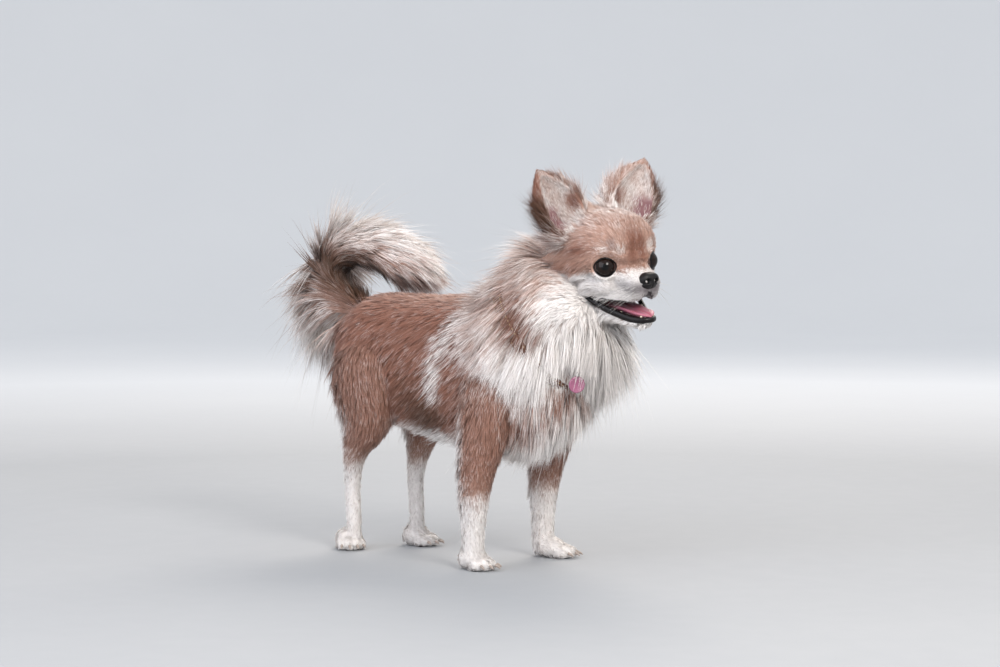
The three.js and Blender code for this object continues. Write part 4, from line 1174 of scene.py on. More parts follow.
def mix(tree, share, first, second, blend="MIX"):
    """Mixes two colours, each a screen code or a node's output."""
    node = add(tree, "ShaderNodeMix", {"data_type": "RGBA", "blend_type": blend})
    for place, value in ((0, share), (6, first), (7, second)):
        if isinstance(value, str):
            node.inputs[place].default_value = linear(value)
        elif isinstance(value, (int, float)):
            node.inputs[place].default_value = value
        else:
            tree.links.new(value, node.inputs[place])
    return node.outputs[2]


def to_range(tree, value, low, high, to_low=0.0, to_high=1.0):
    """Stretches a value from one range to another and clips it."""
    settings = {"From Min": low, "From Max": high, "To Min": to_low, "To Max": to_high}
    return add(tree, "ShaderNodeMapRange", settings, {"Value": value}).outputs[0]


def maths(tree, operation, first, second):
    node = add(tree, "ShaderNodeMath", {"operation": operation})
    for place, value in ((0, first), (1, second)):
        if isinstance(value, (int, float)):
            node.inputs[place].default_value = value
        else:
            tree.links.new(value, node.inputs[place])
    return node.outputs[0]


def new_material(name, **settings):
    """A material with one Principled shader, whose constants are set on its own inputs."""
    material = bpy.data.materials.new(name)
    material.use_nodes = True
    tree = material.node_tree
    shader = tree.nodes["Principled BSDF"]
    for key, value in settings.items():
        shader.inputs[key.replace("_", " ")].default_value = value
    return material, tree, shader


def noise(tree, scale, detail=2.0):
    """A noise in the object's own metres. Scale is in waves for each metre."""
    place = add(tree, "ShaderNodeTexCoord").outputs["Object"]
    return add(tree, "ShaderNodeTexNoise", {"Scale": scale, "Detail": detail}, {"Vector": place}).outputs[0]


def bump(tree, height, strength, distance):
    """Small relief. Distance is its depth in metres."""
    settings = {"Strength": strength, "Distance": distance}
    return add(tree, "ShaderNodeBump", settings, {"Height": height}).outputs[0]


def finish(name, tones, gloss, relief=None, **settings):
    """A material of two tones, with a gloss that varies.

    tones: two colours and the noise between them. gloss: the least and most roughness and their noise.
    relief: strength, depth in metres and noise. Each noise is its scale and detail.
    """
    material, tree, shader = new_material(name, **settings)
    tree.links.new(mix(tree, noise(tree, *tones[2:]), *tones[:2]), shader.inputs["Base Color"])
    rough = to_range(tree, noise(tree, *gloss[2:]), 0.3, 0.7, *gloss[:2])
    tree.links.new(rough, shader.inputs["Roughness"])
    if relief:
        tree.links.new(bump(tree, noise(tree, *relief[2:]), *relief[:2]), shader.inputs["Normal"])
    return material


print("helpers ready")

# %% The coat's colours, shared by skin and hair
FAWN, RUST, CREAM, DARK, GREY_AND_SHADE = "#C39C8A", "#8E5D4A", "#F6F1ED", "#46301F", "#6F686B"


def coat_colour(tree):
    """The colour of the coat from its two attributes, which the skin and the tufts both carry."""
    channels = []
    for name in ("markings", "tints"):
        attribute = add(tree, "ShaderNodeAttribute", {"attribute_name": name})
        parts = add(tree, "ShaderNodeSeparateColor", links={"Color": attribute.outputs["Color"]})
        channels += [*parts.outputs, attribute.outputs["Alpha"]]
    pale, shade, along, luck, warm, grey_and_shade = channels[:6]
    patch = noise(tree, 85, 3)
    jitter = maths(tree, "ADD", maths(tree, "MULTIPLY", luck, 0.5), maths(tree, "MULTIPLY", patch, 0.7))
    jitter = maths(tree, "SUBTRACT", jitter, 0.6)
    base = mix(tree, warm, FAWN, RUST)
    # painted shade: the roots are darker than the tips, as deep in the coat
    jitter = maths(tree, "ADD", jitter, to_range(tree, along, 0.0, 1.0, -0.26, 0.22))  # roots are darker than tips
    base = mix(tree, to_range(tree, maths(tree, "ADD", pale, jitter), 0.2, 0.8), base, CREAM)
    shade = maths(tree, "SUBTRACT", shade, maths(tree, "MULTIPLY", jitter, 0.45))
    base = mix(tree, to_range(tree, shade, 0.1, 0.95), base, DARK)
    # ash grey, which on the cheeks and the muzzle's side is painted shade
    base = mix(tree, grey_and_shade, base, GREY_AND_SHADE)
    # painted shade: the colour darkens towards the root, as the coat's depth would shade it
    depth = to_range(tree, along, 0.0, 0.45, 0.8, 1.0)
    tip = to_range(tree, along, 0.55, 1.0, 1.0, 1.1)
    value = maths(tree, "MULTIPLY", maths(tree, "MULTIPLY", depth, tip), to_range(tree, luck, 0.0, 1.0, 0.8, 1.12))
    return add(tree, "ShaderNodeHueSaturation", links={"Color": base, "Value": value}).outputs[0]


def coat_material(name, roughness):
    """Dry hair: a soft broad sheen along each tuft and no mirror light."""
    material, tree, shader = new_material(name, Specular_IOR_Level=0.3, Sheen_Weight=0.12, Sheen_Roughness=0.5)
    tree.links.new(coat_colour(tree), shader.inputs["Base Color"])
    rough = to_range(tree, noise(tree, 900), 0.3, 0.7, roughness - 0.06, roughness + 0.06)
    tree.links.new(rough, shader.inputs["Roughness"])
    return material


FINISHES = {
    "fawn_coat": coat_material("dry fawn hair", 0.6),
    "cream_coat": coat_material("dry cream hair", 0.55),
    "tail_coat": coat_material("dry plume hair", 0.55),
}
for piece, slot in coat:
    piece.data.materials.append(FINISHES[slot])

# Skin under the coat: dull and slightly rough. Where it is bare it shows the wet black lips, the dark red
# palate, the pink of the ears' hollows, painted dark mauve as their shade, and the dry grey-brown pads.
material, tree, shader = new_material("skin under the coat", Specular_IOR_Level=0.35)
colour = coat_colour(tree)
bare_places = add(tree, "ShaderNodeAttribute", {"attribute_name": "bare"})
wet, deep, pad = add(tree, "ShaderNodeSeparateColor", links={"Color": bare_places.outputs["Color"]}).outputs
lips = mix(tree, noise(tree, 500), "#1B1516", "#2B2022")
inside = mix(tree, deep, lips, mix(tree, noise(tree, 300), "#5A2A33", "#3A1A20"))
# painted shade: the bare skin in the ears' hollows is a dark mauve
colour = mix(tree, bare_places.outputs["Alpha"], colour, mix(tree, noise(tree, 250), "#6E444B", "#875D5F"))
colour = mix(tree, wet, colour, inside)
colour = mix(tree, pad, colour, mix(tree, noise(tree, 700), "#2C2625", "#453B39"))
tree.links.new(colour, shader.inputs["Base Color"])
tree.links.new(to_range(tree, wet, 0, 1, 0.7, 0.28), shader.inputs["Roughness"])
tree.links.new(bump(tree, noise(tree, 1400, 3), 0.5, 0.0003), shader.inputs["Normal"])
skin_mesh.materials.append(material)


# the skin takes the colour of a tuft's lower part, with some of the painted root shade
write_colours(skin_mesh, "markings", [masks[:, 0], masks[:, 1], 0.4, 0.5])
write_colours(skin_mesh, "tints", [masks[:, 2], masks[:, 3], 0, 1])
write_colours(skin_mesh, "bare", [mouth, ease(30 - hx, 0, 18), 1 - ease(z, 0.4, 1.6), 0.95 * shaded_ear_hollows])
print(len(FINISHES) + 1, "finishes on the coat and the skin")

# %% [markdown]
# ## Eyes
# The eyeball is a wet ball, nearly black, with a brown iris that shows only where light falls into it. A dark
# rim of bare skin lines the lids. The lids' opening is almost round and comes to a point at both corners.

# %% Eyeballs and lid rims
def ball(radius, rings=40, sides=64):
    """A ball round the X axis. Returns points, faces and each point's angle from the pole."""
    polar = np.repeat(np.linspace(0.001, np.pi - 0.001, rings), sides)
    turn = np.tile(np.arange(sides) * 2 * np.pi / sides, rings)
    away = np.sin(polar)
    points = radius * np.column_stack([np.cos(polar), away * np.cos(turn), away * np.sin(turn)])
    return points, [face[::-1] for face in tube_faces(rings, sides)], polar


def smooth(piece):
    piece.data.polygons.foreach_set("use_smooth", np.ones(len(piece.data.polygons), dtype=bool))
    change = bmesh.new()
    change.from_mesh(piece.data)
    bmesh.ops.recalc_face_normals(change, faces=change.faces)
    change.to_mesh(piece.data)
    change.free()
    return piece


pieces = []  # each piece, its slot and the frame's nodes that it stands for


def keep(piece, slot, *nodes):
    pieces.append((smooth(piece), slot, nodes))
    return piece


def make(name, points, faces, material, slot, *nodes):
    """A piece from points in the drawing's millimetres, with its finish."""
    piece = mesh_of(name, metres(points), faces)
    piece.data.materials.append(material)
    return keep(piece, slot, *nodes)


# A wet eyeball: a clear film over it gives one sharp highlight, and the iris shows only in strong light.
eye_finish, tree, shader = new_material(
    "wet eyeball", Coat_Weight=1.0, Coat_Roughness=0.02, Coat_IOR=1.34, Specular_IOR_Level=0.0
)
look_angle = add(tree, "ShaderNodeAttribute", {"attribute_name": "gaze"})
angle = add(tree, "ShaderNodeSeparateColor", links={"Color": look_angle.outputs["Color"]}).outputs[0]
fibres = noise(tree, 2500, 2)
iris = mix(tree, fibres, "#0E0704", "#22120A")
iris = mix(tree, to_range(tree, angle, 0.30, 0.36), "#020202", iris)
white = mix(tree, noise(tree, 600), "#3B2A26", "#6B5550")
colour = mix(tree, to_range(tree, angle, 0.78, 0.86), iris, "#080505")
colour = mix(tree, to_range(tree, angle, 0.98, 1.06), colour, white)
tree.links.new(colour, shader.inputs["Base Color"])
tree.links.new(to_range(tree, angle, 0, 1.2, 0.04, 0.08), shader.inputs["Roughness"])
# Moist black skin of lids and lips: small soft glints on fine wrinkles.
black_skin = finish(
    "moist black skin",
    ("#080606", "#171213", 900, 3),
    (0.22, 0.42, 400, 2),
    (0.5, 0.0002, 2200, 2),
    Specular_IOR_Level=0.25,
)
RIM_SIDES = 72
RIM = [(8.3, 0.2), (9.05, 0.1), (9.5, -0.02), (9.4, -0.1), (8.7, -0.11), (8.2, -0.06)]  # radius, angle past the lid
for s, name in ((1, "eye_left"), (-1, "eye_right")):
    gaze, across, up = eye_axes(s)
    points, faces, polar = ball(EYE_RADIUS)
    bulge = 0.35 * np.exp(-((polar / 0.6) ** 2))  # the cornea stands a little out of the ball
    points = points + np.outer(bulge, [1, 0, 0])
    turned = points @ np.column_stack([gaze, across, up]).T
    eye = make(name + "_ball", from_head(turned + EYE_AT * [1, s, 1]), faces, eye_finish, "eye", name)
    write_colours(eye.data, "gaze", [polar, 0, 0, 1])
    turn = np.linspace(0, 2 * np.pi, RIM_SIDES, endpoint=False)
    bend = lid_angle(np.cos(turn), np.sin(turn)) - 0.04
    out = np.outer(np.cos(turn), across) + np.outer(np.sin(turn), up)
    rims = [
        radius * (np.cos(bend + widen)[:, None] * gaze + np.sin(bend + widen)[:, None] * out)
        for radius, widen in RIM
    ]
    points = from_head(np.stack(rims, axis=1).reshape(-1, 3) + EYE_AT * [1, s, 1])
    make(name + "_rim", points, rope_faces(RIM_SIDES, len(RIM)), black_skin, "mouth_skin")
print("eyes", 2 * EYE_RADIUS, "mm across")

# %% [markdown]
# ## Nose
# The nose is bare leather with fine pebbles. Its nostrils are commas: round in front, with a slit that runs
# back at the side. A groove parts it below.

# %% Nose leather
NOSE_ROWS = [(43, 0, -11, 8.0, 5.0, 6.3), (48, 0, -11.2, 8.8, 5.6, 7.4), (53.3, 0, -12.2, 7.6, 4.8, 6.6)]


def nostrils(points):
    """Dents the front of the nose, in the head's frame."""
    p = points.copy()
    y, z = np.abs(points[:, 1]), points[:, 2]
    front = ease(points[:, 0], 47, 51)
    hole = np.exp(-((((y - 3.7) / 1.9) ** 2 + ((z + 12.0) / 1.7) ** 2) ** 1.5)) * front
    slit_at = -12.9 - 0.9 * ease(y, 4, 8)
    slit = np.exp(-(((z - slit_at) / 0.75) ** 2)) * ease(y, 3.8, 5) * ease(points[:, 0], 45, 49)
    groove = np.exp(-((y / 0.55) ** 2)) * ease(-z, 12.5, 15) * front
    p[:, 0] -= 4.2 * hole + 0.5 * groove
    p[:, 1] -= np.sign(points[:, 1]) * (1.5 * slit - 0.5 * hole)
    p[:, 2] += 0.35 * np.exp(-(((y - 3.8) / 2.5) ** 2)) * ease(z, -10, -7)
    return p


# Moist nose leather: the pebbles break one broad highlight into many small ones.
material, tree, shader = new_material("moist nose leather", Specular_IOR_Level=0.3)
place = add(tree, "ShaderNodeTexCoord").outputs["Object"]
pebble = add(tree, "ShaderNodeTexVoronoi", {"Scale": 1500.0}, {"Vector": place}).outputs[0]
tree.links.new(mix(tree, noise(tree, 500, 3), "#070606", "#151213"), shader.inputs["Base Color"])
tree.links.new(to_range(tree, pebble, 0.0, 0.6, 0.24, 0.42), shader.inputs["Roughness"])
tree.links.new(bump(tree, pebble, 0.45, 0.0003), shader.inputs["Normal"])
points, faces = Form(NOSE_ROWS, 0.3, 0.42, 2.2, place=from_head).shell(90, 96, nostrils)
nose = make("nose_leather", points, faces, material, "nose_leather", "nose")
print("nose:", len(nose.data.polygons), "faces")

# %% [markdown]
# ## Mouth
# The lower lip is a soft black rope round the jaw. The tongue lies in the jaw's trough, dished along its
# middle, and its tip reaches the front teeth. The upper lip's edge is a thin black line under the fur.

# %% Lips, tongue
LOWER_LIP = [
    (-0.5, 25.6, -23.8, 1.3, 1.3),
    (5, 22.8, -27.4, 2.0, 1.7),
    (12, 19.3, -31.8, 2.5, 1.9),
    (26, 13.2, -38.2, 2.7, 1.9),
    (37, 9.2, -41.6, 2.6, 1.9),
    (44.5, 5.6, -42.2, 2.4, 1.9),
    (47.4, 0, -42.4, 2.2, 1.9),
]
rows = [(px, -py, pz, tall, thick, thick) for px, py, pz, tall, thick in LOWER_LIP]
rows += [(px, -py, pz, *size) for px, py, pz, *size in rows[-2::-1]]
points, faces = Form(rows, 0.05, 0.05, 2.1, side=UP, place=from_head).shell(120, 20)
make("lower_lip", points, faces, black_skin, "mouth_skin")
UPPER_LIP = [
    (0, 25.2, -23.2),
    (12, 22, -24.4),
    (25, 16.4, -26.2),
    (35, 11.4, -27.4),
    (42, 7.2, -25.6),
    (45.5, 4.5, -23.2),
]
for s, side_name in ((1, "left"), (-1, "right")):
    edge = Form([(px, py * s, pz, 0.9, 1.3, 1.3) for px, py, pz in UPPER_LIP], 0.1, 0.1, side=UP, place=from_head)
    points, faces = edge.shell(60, 12)
    make("upper_lip_" + side_name, points, faces, black_skin, "mouth_skin")

TONGUE_ROWS = [
    (2, 0, -30.5, 11, 2.5, 3),
    (20, 0, -34.5, 10.2, 2.4, 3),
    (34, 0, -37.6, 8.8, 2.1, 2.6),
    (42, 0, -38.6, 8.2, 1.9, 2.2),
    (47.8, 0, -39.4, 6.6, 1.5, 1.8),
]


def dished(points):
    """The tongue's edges curl up and its middle has a groove."""
    p = points.copy()
    p[:, 2] += 1.9 * (np.abs(points[:, 1]) / 9) ** 2.2 * ease(points[:, 0], 10, 30)
    p[:, 2] -= 0.9 * np.exp(-((points[:, 1] / 1.1) ** 2))
    return p


# Wet tongue: pink flesh that lets some light in, with glints on its small buds, and painted shade that darkens it
# towards the throat.
material, tree, shader = new_material(
    "wet tongue", Specular_IOR_Level=0.5, Subsurface_Weight=0.2, Subsurface_Scale=0.002
)
buds = noise(tree, 1800, 2)
back = add(tree, "ShaderNodeAttribute", {"attribute_name": "back"})
back = add(tree, "ShaderNodeSeparateColor", links={"Color": back.outputs["Color"]}).outputs[0]
pink = mix(tree, buds, "#A55D70", "#BD7888")
# painted shade: the back of the tongue, deep in the mouth, turns dark
tree.links.new(mix(tree, back, pink, "#5B2733"), shader.inputs["Base Color"])
tree.links.new(to_range(tree, buds, 0.3, 0.7, 0.28, 0.42), shader.inputs["Roughness"])
tree.links.new(bump(tree, buds, 0.6, 0.0003), shader.inputs["Normal"])
points, faces = Form(TONGUE_ROWS, 0.12, 0.16, 2.3, place=from_head).shell(90, 64, dished)
tongue = make("tongue_soft", points, faces, material, "tongue_skin", "tongue")
# the share of painted shade, rising towards the throat
write_colours(tongue.data, "back", [1 - ease(to_head(points)[:, 0], 8, 30), 0, 0, 1])
print("mouth: lips and tongue")

# %% [markdown]
# ## Copies on points
# Claws, teeth and stitches repeat. One node tree puts a copy of a small solid on every point of a list, turned
# and scaled by the point's own values, so each is drawn only once.

# %% The tree that places copies
def copies_tree():
    tree = bpy.data.node_groups.new("copies on points", "GeometryNodeTree")
    for title, kind in (("Geometry", "Geometry"), ("Copy", "Object"), ("Finish", "Material"), ("Seed", "Int")):
        tree.interface.new_socket(title, in_out="INPUT", socket_type="NodeSocket" + kind)
    tree.interface.new_socket("Geometry", in_out="OUTPUT", socket_type="NodeSocketGeometry")
    start, end = add(tree, "NodeGroupInput"), add(tree, "NodeGroupOutput")
    solid = add(tree, "GeometryNodeObjectInfo", links={"Object": start.outputs["Copy"]})
    turn = add(tree, "GeometryNodeInputNamedAttribute", {"data_type": "FLOAT_VECTOR", "Name": "turn"})
    size = add(tree, "GeometryNodeInputNamedAttribute", {"data_type": "FLOAT_VECTOR", "Name": "size"})
    links = {"Seed": start.outputs["Seed"]}
    vary = add(tree, "FunctionNodeRandomValue", {"data_type": "FLOAT", 2: 0.92, 3: 1.08}, links)
    links = {0: size.outputs[0], "Scale": vary.outputs[1]}
    scale = add(tree, "ShaderNodeVectorMath", {"operation": "SCALE"}, links)
    links = {"Points": start.outputs["Geometry"], "Instance": solid.outputs["Geometry"]}
    links |= {"Rotation": turn.outputs[0], "Scale": scale.outputs[0]}
    placed = add(tree, "GeometryNodeInstanceOnPoints", links=links)
    whole = add(tree, "GeometryNodeRealizeInstances", links={0: placed.outputs[0]})
    links = {"Geometry": whole.outputs[0], "Material": start.outputs["Finish"]}
    tree.links.new(add(tree, "GeometryNodeSetMaterial", links=links).outputs[0], end.inputs[0])
    return tree


COPIES = copies_tree()
IDENTIFIERS = {item.name: item.identifier for item in COPIES.interface.items_tree if item.in_out == "INPUT"}


def copies(name, slot, solid, finish, places, turns, sizes, *nodes):
    """One piece made of copies of a small solid. Places are in metres."""
    piece = mesh_of(name, places, [])
    for title, values in (("turn", turns), ("size", sizes)):
        attribute = piece.data.attributes.new(title, "FLOAT_VECTOR", "POINT")
        attribute.data.foreach_set("vector", np.asarray(values, np.float32).ravel())
    change = piece.modifiers.new("copies", "NODES")
    change.node_group = COPIES
    change[IDENTIFIERS["Copy"]], change[IDENTIFIERS["Finish"]], change[IDENTIFIERS["Seed"]] = solid, finish, 4
    mesh = evaluated(piece)
    bpy.data.objects.remove(solid)
    piece = bpy.data.objects.new(name, mesh)
    bpy.context.scene.collection.objects.link(piece)
    return keep(piece, slot, *nodes)


def facing(forward, upward):
    """Euler angles of a turn that takes +X forward and +Z as near upward as it can."""
    z_axis = unit(upward - forward * np.dot(upward, forward))
    matrix = Matrix(np.column_stack([forward, np.cross(z_axis, forward), z_axis]).tolist())
    return list(matrix.to_euler())


print("copies tree:", len(COPIES.nodes), "nodes")

# %% Claws and teeth
# Horn: dull with a low shine along the claw's back.
material = finish("horn of the claws", ("#8C7C72", "#B5A79C", 700, 2), (0.3, 0.5, 1500, 2), Specular_IOR_Level=0.5)
claw_form = Form([(0, 0, 0, 1.1, 1.3, 1.2), (2.6, 0, -0.5, 0.9, 1.0, 1.0), (5.0, 0, -2.2, 0.3, 0.3, 0.3)], 0.1, 0.2)
points, faces = claw_form.shell(16, 12)
claw = mesh_of("claw", points / 1000, faces)
places, turns = [], []
for leg in FOOT:
    turn = rotation(TOE_TURN[leg], "Z")
    for tx, ty, size in TOES:
        places.append(metres(paw_place(leg)([[tx + 6.6, ty * 1.08, 4.6]]))[0])
        turns.append(facing(turn @ unit(np.array([1, 0.25 * ty / 8, 0.0])), UP))
copies("claws", "nose_leather", claw, material, places, turns, np.ones((len(places), 3)))

# Enamel: warm white, wet, and a little see-through at its edge.
material = finish(
    "enamel of the teeth",
    ("#E9E0CC", "#D6C6A6", 900, 2),
    (0.18, 0.32, 1200, 2),
    Specular_IOR_Level=0.5,
    Subsurface_Weight=0.1,
    Subsurface_Scale=0.001,
)
TEETH = [(46.0, 1.3, 2.4), (45.4, 3.6, 2.5), (43.6, 6.0, 3.8), (27, 12.0, 2.0), (21, 13.6, 2.3)]  # x, y, height
tooth_form = Form([(0, 0, -0.6, 1.2, 1.1, 1.1), (0, 0, 0.2, 1.15, 1.0, 1.0), (0.1, 0, 1, 0.3, 0.35, 0.35)], 0.1, 0.3)
points, faces = tooth_form.shell(18, 12)
tooth = mesh_of("tooth", points / 1000, faces)
places, turns, sizes = [], [], []
for tx, ty, tall in TEETH:
    for s in (1, -1):
        gum = -41.6 + (45 - tx) * 0.24
        places.append(metres(from_head([[tx, ty * s, gum]]))[0])
        turns.append(facing(HEAD_TURN[:, 0], HEAD_TURN[:, 2]))
        sizes.append((1, 1, tall))
copies("teeth", "mouth_skin", tooth, material, places, turns, sizes)
print("claws and teeth placed")

# %% [markdown]
# ## Strap and tag
# A narrow strap of brown leather goes round the neck, stitched along both edges, with a round enamelled tag
# on a split ring. Most of it lies hidden in the ruff.

# %% The strap: a rounded band in a tilted plane round the neck
COLLAR_AT, COLLAR_TILT, COLLAR_WIDE = 0.46, 16, 9  # share of the neck's length, degrees, millimetres
BAND_SIDES = 96
neck_form = Form(NECK_ROWS, 0.3, 0.2, 2.1)
axis_at = neck_form.station(np.array([COLLAR_AT]))[0, :3]
way = rotation(COLLAR_TILT, "Y") @ neck_form.axes(np.array([COLLAR_AT]))[0][0]


def round_neck(turn):
    """Points of the neck's surface in the strap's plane, and the directions out of them."""
    levels = np.linspace(0.2, 0.8, 121)
    found = []
    for a in turn:
        line = neck_form.surface(levels, np.full(len(levels), a))
        found.append(line[np.argmin(np.abs((line - axis_at) @ way))])
    found = np.array(found)
    found = found - np.outer((found - axis_at) @ way, way)
    return found, unit(found - axis_at)


base, away = round_neck(np.linspace(0, 2 * np.pi, BAND_SIDES, endpoint=False))
half = [(3.3, 2.2), (4.1, 2.1), (4.5, 1.6), (4.5, -0.6)]  # along the neck and out from it
profile = [(-h, o) for h, o in half[::-1]] + [(0, 2.3)] + half
points = np.stack([base + h * way + (o - 0.2) * away for h, o in profile], axis=1).reshape(-1, 3)
# Oiled leather: a satin brown whose grain catches the light.
material = finish(
    "oiled strap leather",
    ("#4A2D20", "#6B4532", 1100, 4),
    (0.4, 0.6, 1100, 4),
    (0.5, 0.0004, 1100, 4),
    Specular_IOR_Level=0.4,
)
make("strap_band", points, rope_faces(BAND_SIDES, len(profile)), material, "strap", "collar")

# Waxed thread: pale and dull, so that the stitches stand out on the leather.
material = finish("waxed thread", ("#B9A27E", "#8E7757", 2500, 2), (0.55, 0.75, 900, 2), Specular_IOR_Level=0.3)
stitch_form = Form([(-1, 0, 0, 0.3, 0.28, 0.28), (0, 0, 0, 0.34, 0.34, 0.3), (1, 0, 0, 0.3, 0.28, 0.28)], 0.2, 0.2)
points, faces = stitch_form.shell(8, 8)
stitch = mesh_of("stitch", points / 1000, faces)
STITCHES = 90  # in each of the two rows
base, away = round_neck(np.linspace(0, 2 * np.pi, STITCHES, endpoint=False))
beside = unit(np.roll(base, -1, axis=0) - np.roll(base, 1, axis=0))
places, turns = [], []
for h in (-3.2, 3.2):
    places += list(metres(base + h * way + 2.05 * away))
    turns += [facing(f, u) for f, u in zip(beside, away)]
copies("stitches", "strap", stitch, material, places, turns, np.ones((len(places), 3)))

# %% The tag and its ring
TAG_SIDE, TAG_RADIUS = math.radians(249), 6.5
TAG_SIDES = 64
out = unit(round_neck([TAG_SIDE])[1][0] * [1, 1, 0.1])
hang = TAG_AT + 2.6 * out  # the tag's middle
side = unit(np.cross(UP, out))
up = np.cross(out, side)
profile = [(0, 0.55), (4.9, 0.55), (5.3, 0.85), (6.1, 0.9), (6.5, 0.5), (6.5, -0.5), (6.1, -0.9), (5.3, -0.85)]
profile.append((0, -0.6))  # distance from the middle and height, from the front face round to the back
turn = np.linspace(0, 2 * np.pi, TAG_SIDES, endpoint=False)
spokes = np.outer(np.cos(turn), side) + np.outer(np.sin(turn), up)
points = np.stack([hang + h * out + max(r, 0.02) * spokes for r, h in profile], axis=1).reshape(-1, 3)
last = len(profile) - 1
faces = [face for k, face in enumerate(rope_faces(TAG_SIDES, len(profile))) if k % len(profile) < last]
# Pink enamel: glossy under a clear coat, with a raised edge that takes a thin bright line.
material = finish(
    "pink enamel", ("#AC6885", "#935070", 300, 2), (0.2, 0.32, 1600, 2), Coat_Weight=0.5, Coat_Roughness=0.05
)
make("tag_disc", points, faces, material, "tag", "collar_tag")
# Nickel wire: the only bare metal, bright against the hair.
material = finish("nickel wire", ("#B8B6B2", "#8F8D8A", 900, 2), (0.2, 0.35, 2000, 2), Metallic=1.0)
points, faces = ring(hang + up * (TAG_RADIUS + 1.0), out, up, 2.2, 2.2, 0.4, 40, 10)
make("split_ring", points, faces, material, "strap")
print("strap", COLLAR_WIDE, "mm wide, tag", 2 * TAG_RADIUS, "mm across")

# %% [markdown]
# ## Whiskers
# Whiskers are single stiff hairs, thick at the root and drawn out to nothing, that grow from the lip in rows
# and sweep back and down. A few more stand over the eyes.

# %% Whiskers and brow hairs
def bristles(roots, ways, lengths, thick):
    """Three-sided tapered hairs that bend down a little."""
    share = np.linspace(0, 1, 9)
    points, faces = [], []
    for root, way_out, long in zip(roots, ways, lengths):
        way_out = unit(np.asarray(way_out, float))
        line = root + np.outer(share * long, way_out) + np.outer(0.12 * long * share**2, [-0.5, 0, -0.8])
        side = unit(np.cross(way_out, UP))
        up = np.cross(side, way_out)
        start = len(points)
        for step, at in zip(share, line):
            r = thick * (1 - 0.93 * step)
            points += [at + r * (math.cos(v) * side + math.sin(v) * up) for v in (0, 2.09, 4.19)]
        for k in range(8):
            for m in range(3):
                n = (m + 1) % 3
                a, b = start + 3 * k, start + 3 * (k + 1)
                faces.append((a + m, a + n, b + n, b + m))
        faces.append((start, start + 2, start + 1))
        faces.append((start + 24, start + 25, start + 26))
    return from_head(points), faces


roots, ways, lengths = [], [], []
for s in (1, -1):
    for row, (wz, number) in enumerate([(-15.5, 4), (-18.5, 5), (-21.5, 5)]):
        for k in range(number):
            wx = 46 - 3.3 * k - row
            wy = np.interp(wx, [30, 36, 42, 47], [15.5, 13.4, 12.2, 10.0])
            roots.append((wx, wy * s, wz))
            back, fall = -0.25 - 0.1 * k, -0.25 - 0.15 * row
            ways.append((back + random.normal(0, 0.08), s, fall + random.normal(0, 0.1)))
            lengths.append(random.uniform(15, 27))
    for k in range(3):
        roots.append((25 - 3 * k, (12 + 3 * k) * s, 15.0))
        ways.append((0.3 - 0.3 * k, 0.5 * s, 1 + random.normal(0, 0.1)))
        lengths.append(random.uniform(8, 13))
# Whiskers: stiff, white and a little glossy, so that each shows as a fine bright line.
material = finish(
    "stiff white whiskers", ("#F7F4EF", "#DAD4CC", 200, 2), (0.3, 0.45, 600, 2), Specular_IOR_Level=0.5
)
points, faces = bristles(np.array(roots, float), ways, lengths, 0.14)
make("whiskers", points, faces, material, "cream_coat")
print(len(roots), "whiskers")

# %% [markdown]
# ## Studio
# The floor is pale, and a painted glow in it grows with distance so that no dark band stands behind the dog.
# The key light is small and high before its face, which gives the eyes one clear highlight. A large weak light
# fills from its right side, and a third behind brings out the edge of the coat.

# %% Floor, lights and sky
FLOOR_SIDES = 96
turn = np.linspace(0, 2 * np.pi, FLOOR_SIDES, endpoint=False)
bend = np.linspace(0, np.pi / 2, 24)
COVE = [(0.02, 0), (1, 0), *((4.3 + 1.4 * np.sin(v), 1.4 - 1.4 * np.cos(v)) for v in bend), (5.7, 1.8)]
points = [(r * math.cos(v), r * math.sin(v), h) for r, h in COVE for v in turn]
faces = [face[::-1] for face in tube_faces(len(COVE), FLOOR_SIDES)[:-1]]  # the tube is open at its top
floor = smooth(mesh_of("floor", points, faces))
material = finish(
    "pale floor with painted glow", ("#A4A6A9", "#AAACAE", 3, 3), (0.75, 0.85, 40, 2), Specular_IOR_Level=0.2
)
tree, shader = material.node_tree, material.node_tree.nodes["Principled BSDF"]
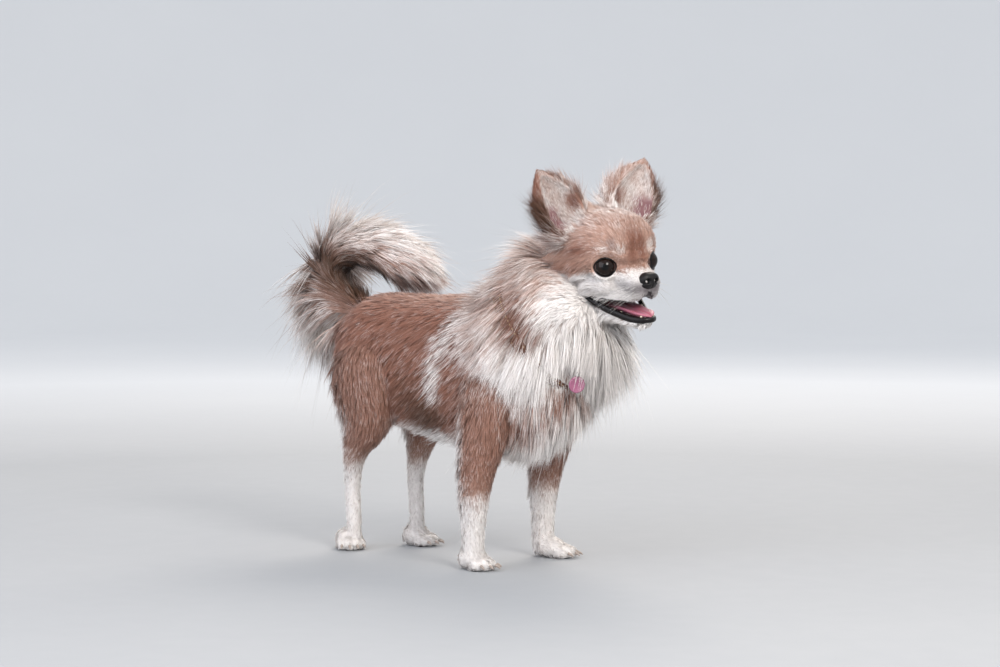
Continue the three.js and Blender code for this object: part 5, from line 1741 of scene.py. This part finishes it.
# painted light: the floor glows more with its distance from the middle, to brighten its far part
place = add(tree, "ShaderNodeTexCoord").outputs["Object"]
far = add(tree, "ShaderNodeVectorMath", {"operation": "LENGTH"}, {0: place}).outputs["Value"]
tree.links.new(to_range(tree, far, 0.9, 2.3, 0.0, 0.4), shader.inputs["Emission Strength"])
shader.inputs["Emission Color"].default_value = linear("#E6E8EC")
floor.data.materials.append(material)
floor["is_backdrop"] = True
LIGHTS = [
    # name, place, size, watts, colour
    ("key", (1.55, -0.65, 1.2), 0.66, 23, "#FFF9F3"),
    ("fill", (-0.2, -1.8, 0.8), 1.7, 21, "#F2F5FF"),
    ("rim", (-0.9, 1.7, 1.9), 1.3, 40, "#FFF4E8"),
]
for name, place, size, watts, colour in LIGHTS:
    light = bpy.data.lights.new(name, "AREA")
    light.shape, light.size, light.energy, light.color = "SQUARE", size, watts, linear(colour)[:3]
    lamp = bpy.data.objects.new(name, light)
    lamp.location = place
    lamp.rotation_mode = "QUATERNION"
    lamp.rotation_quaternion = (Vector((0.03, 0, 0.17)) - Vector(place)).to_track_quat("-Z", "Y")
    bpy.context.scene.collection.objects.link(lamp)
world = bpy.data.worlds.new("soft sky")
world.use_nodes = True
bpy.context.scene.world = world
background = world.node_tree.nodes["Background"]
background.inputs["Color"].default_value = linear("#E6E9EE")
background.inputs["Strength"].default_value = 1.05
bpy.context.scene.view_settings.view_transform = "Standard"
print(len(LIGHTS), "lights")

# %% [markdown]
# ## Put the pieces on the frame
# The model is still, so every piece rides on the one body. The skin stands for all the nodes of flesh, and the
# coat, eyes, nose, tongue, claws, strap and tag are pieces of their own.

# %% Ride, replace and finish
FRONT, HIND = ("shoulder", "forearm", "paw"), ("thigh", "shank", "paw")
flesh = ["head", "torso", "neck", "ear_left", "ear_right", "lower_jaw", "tail_root", "tail_middle", "tail_tip"]
flesh += [f"{leg}_{part}" for leg in FOOT for part in (FRONT if leg.startswith("front") else HIND)]
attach(skin, "root")
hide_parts(*flesh)
for piece, slot in coat:
    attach(piece, "root")
for piece, slot, nodes in pieces:
    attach(piece, "root")
    if nodes:
        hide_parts(*nodes)
full_box = [list(corner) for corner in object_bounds()]
grown = [1000 * (abs(b) - abs(a)) for pair in zip(cad_box, full_box) for a, b in zip(*pair)]
print("the coat goes past the frame's box by", [round(v, 1) for v in grown], "mm")
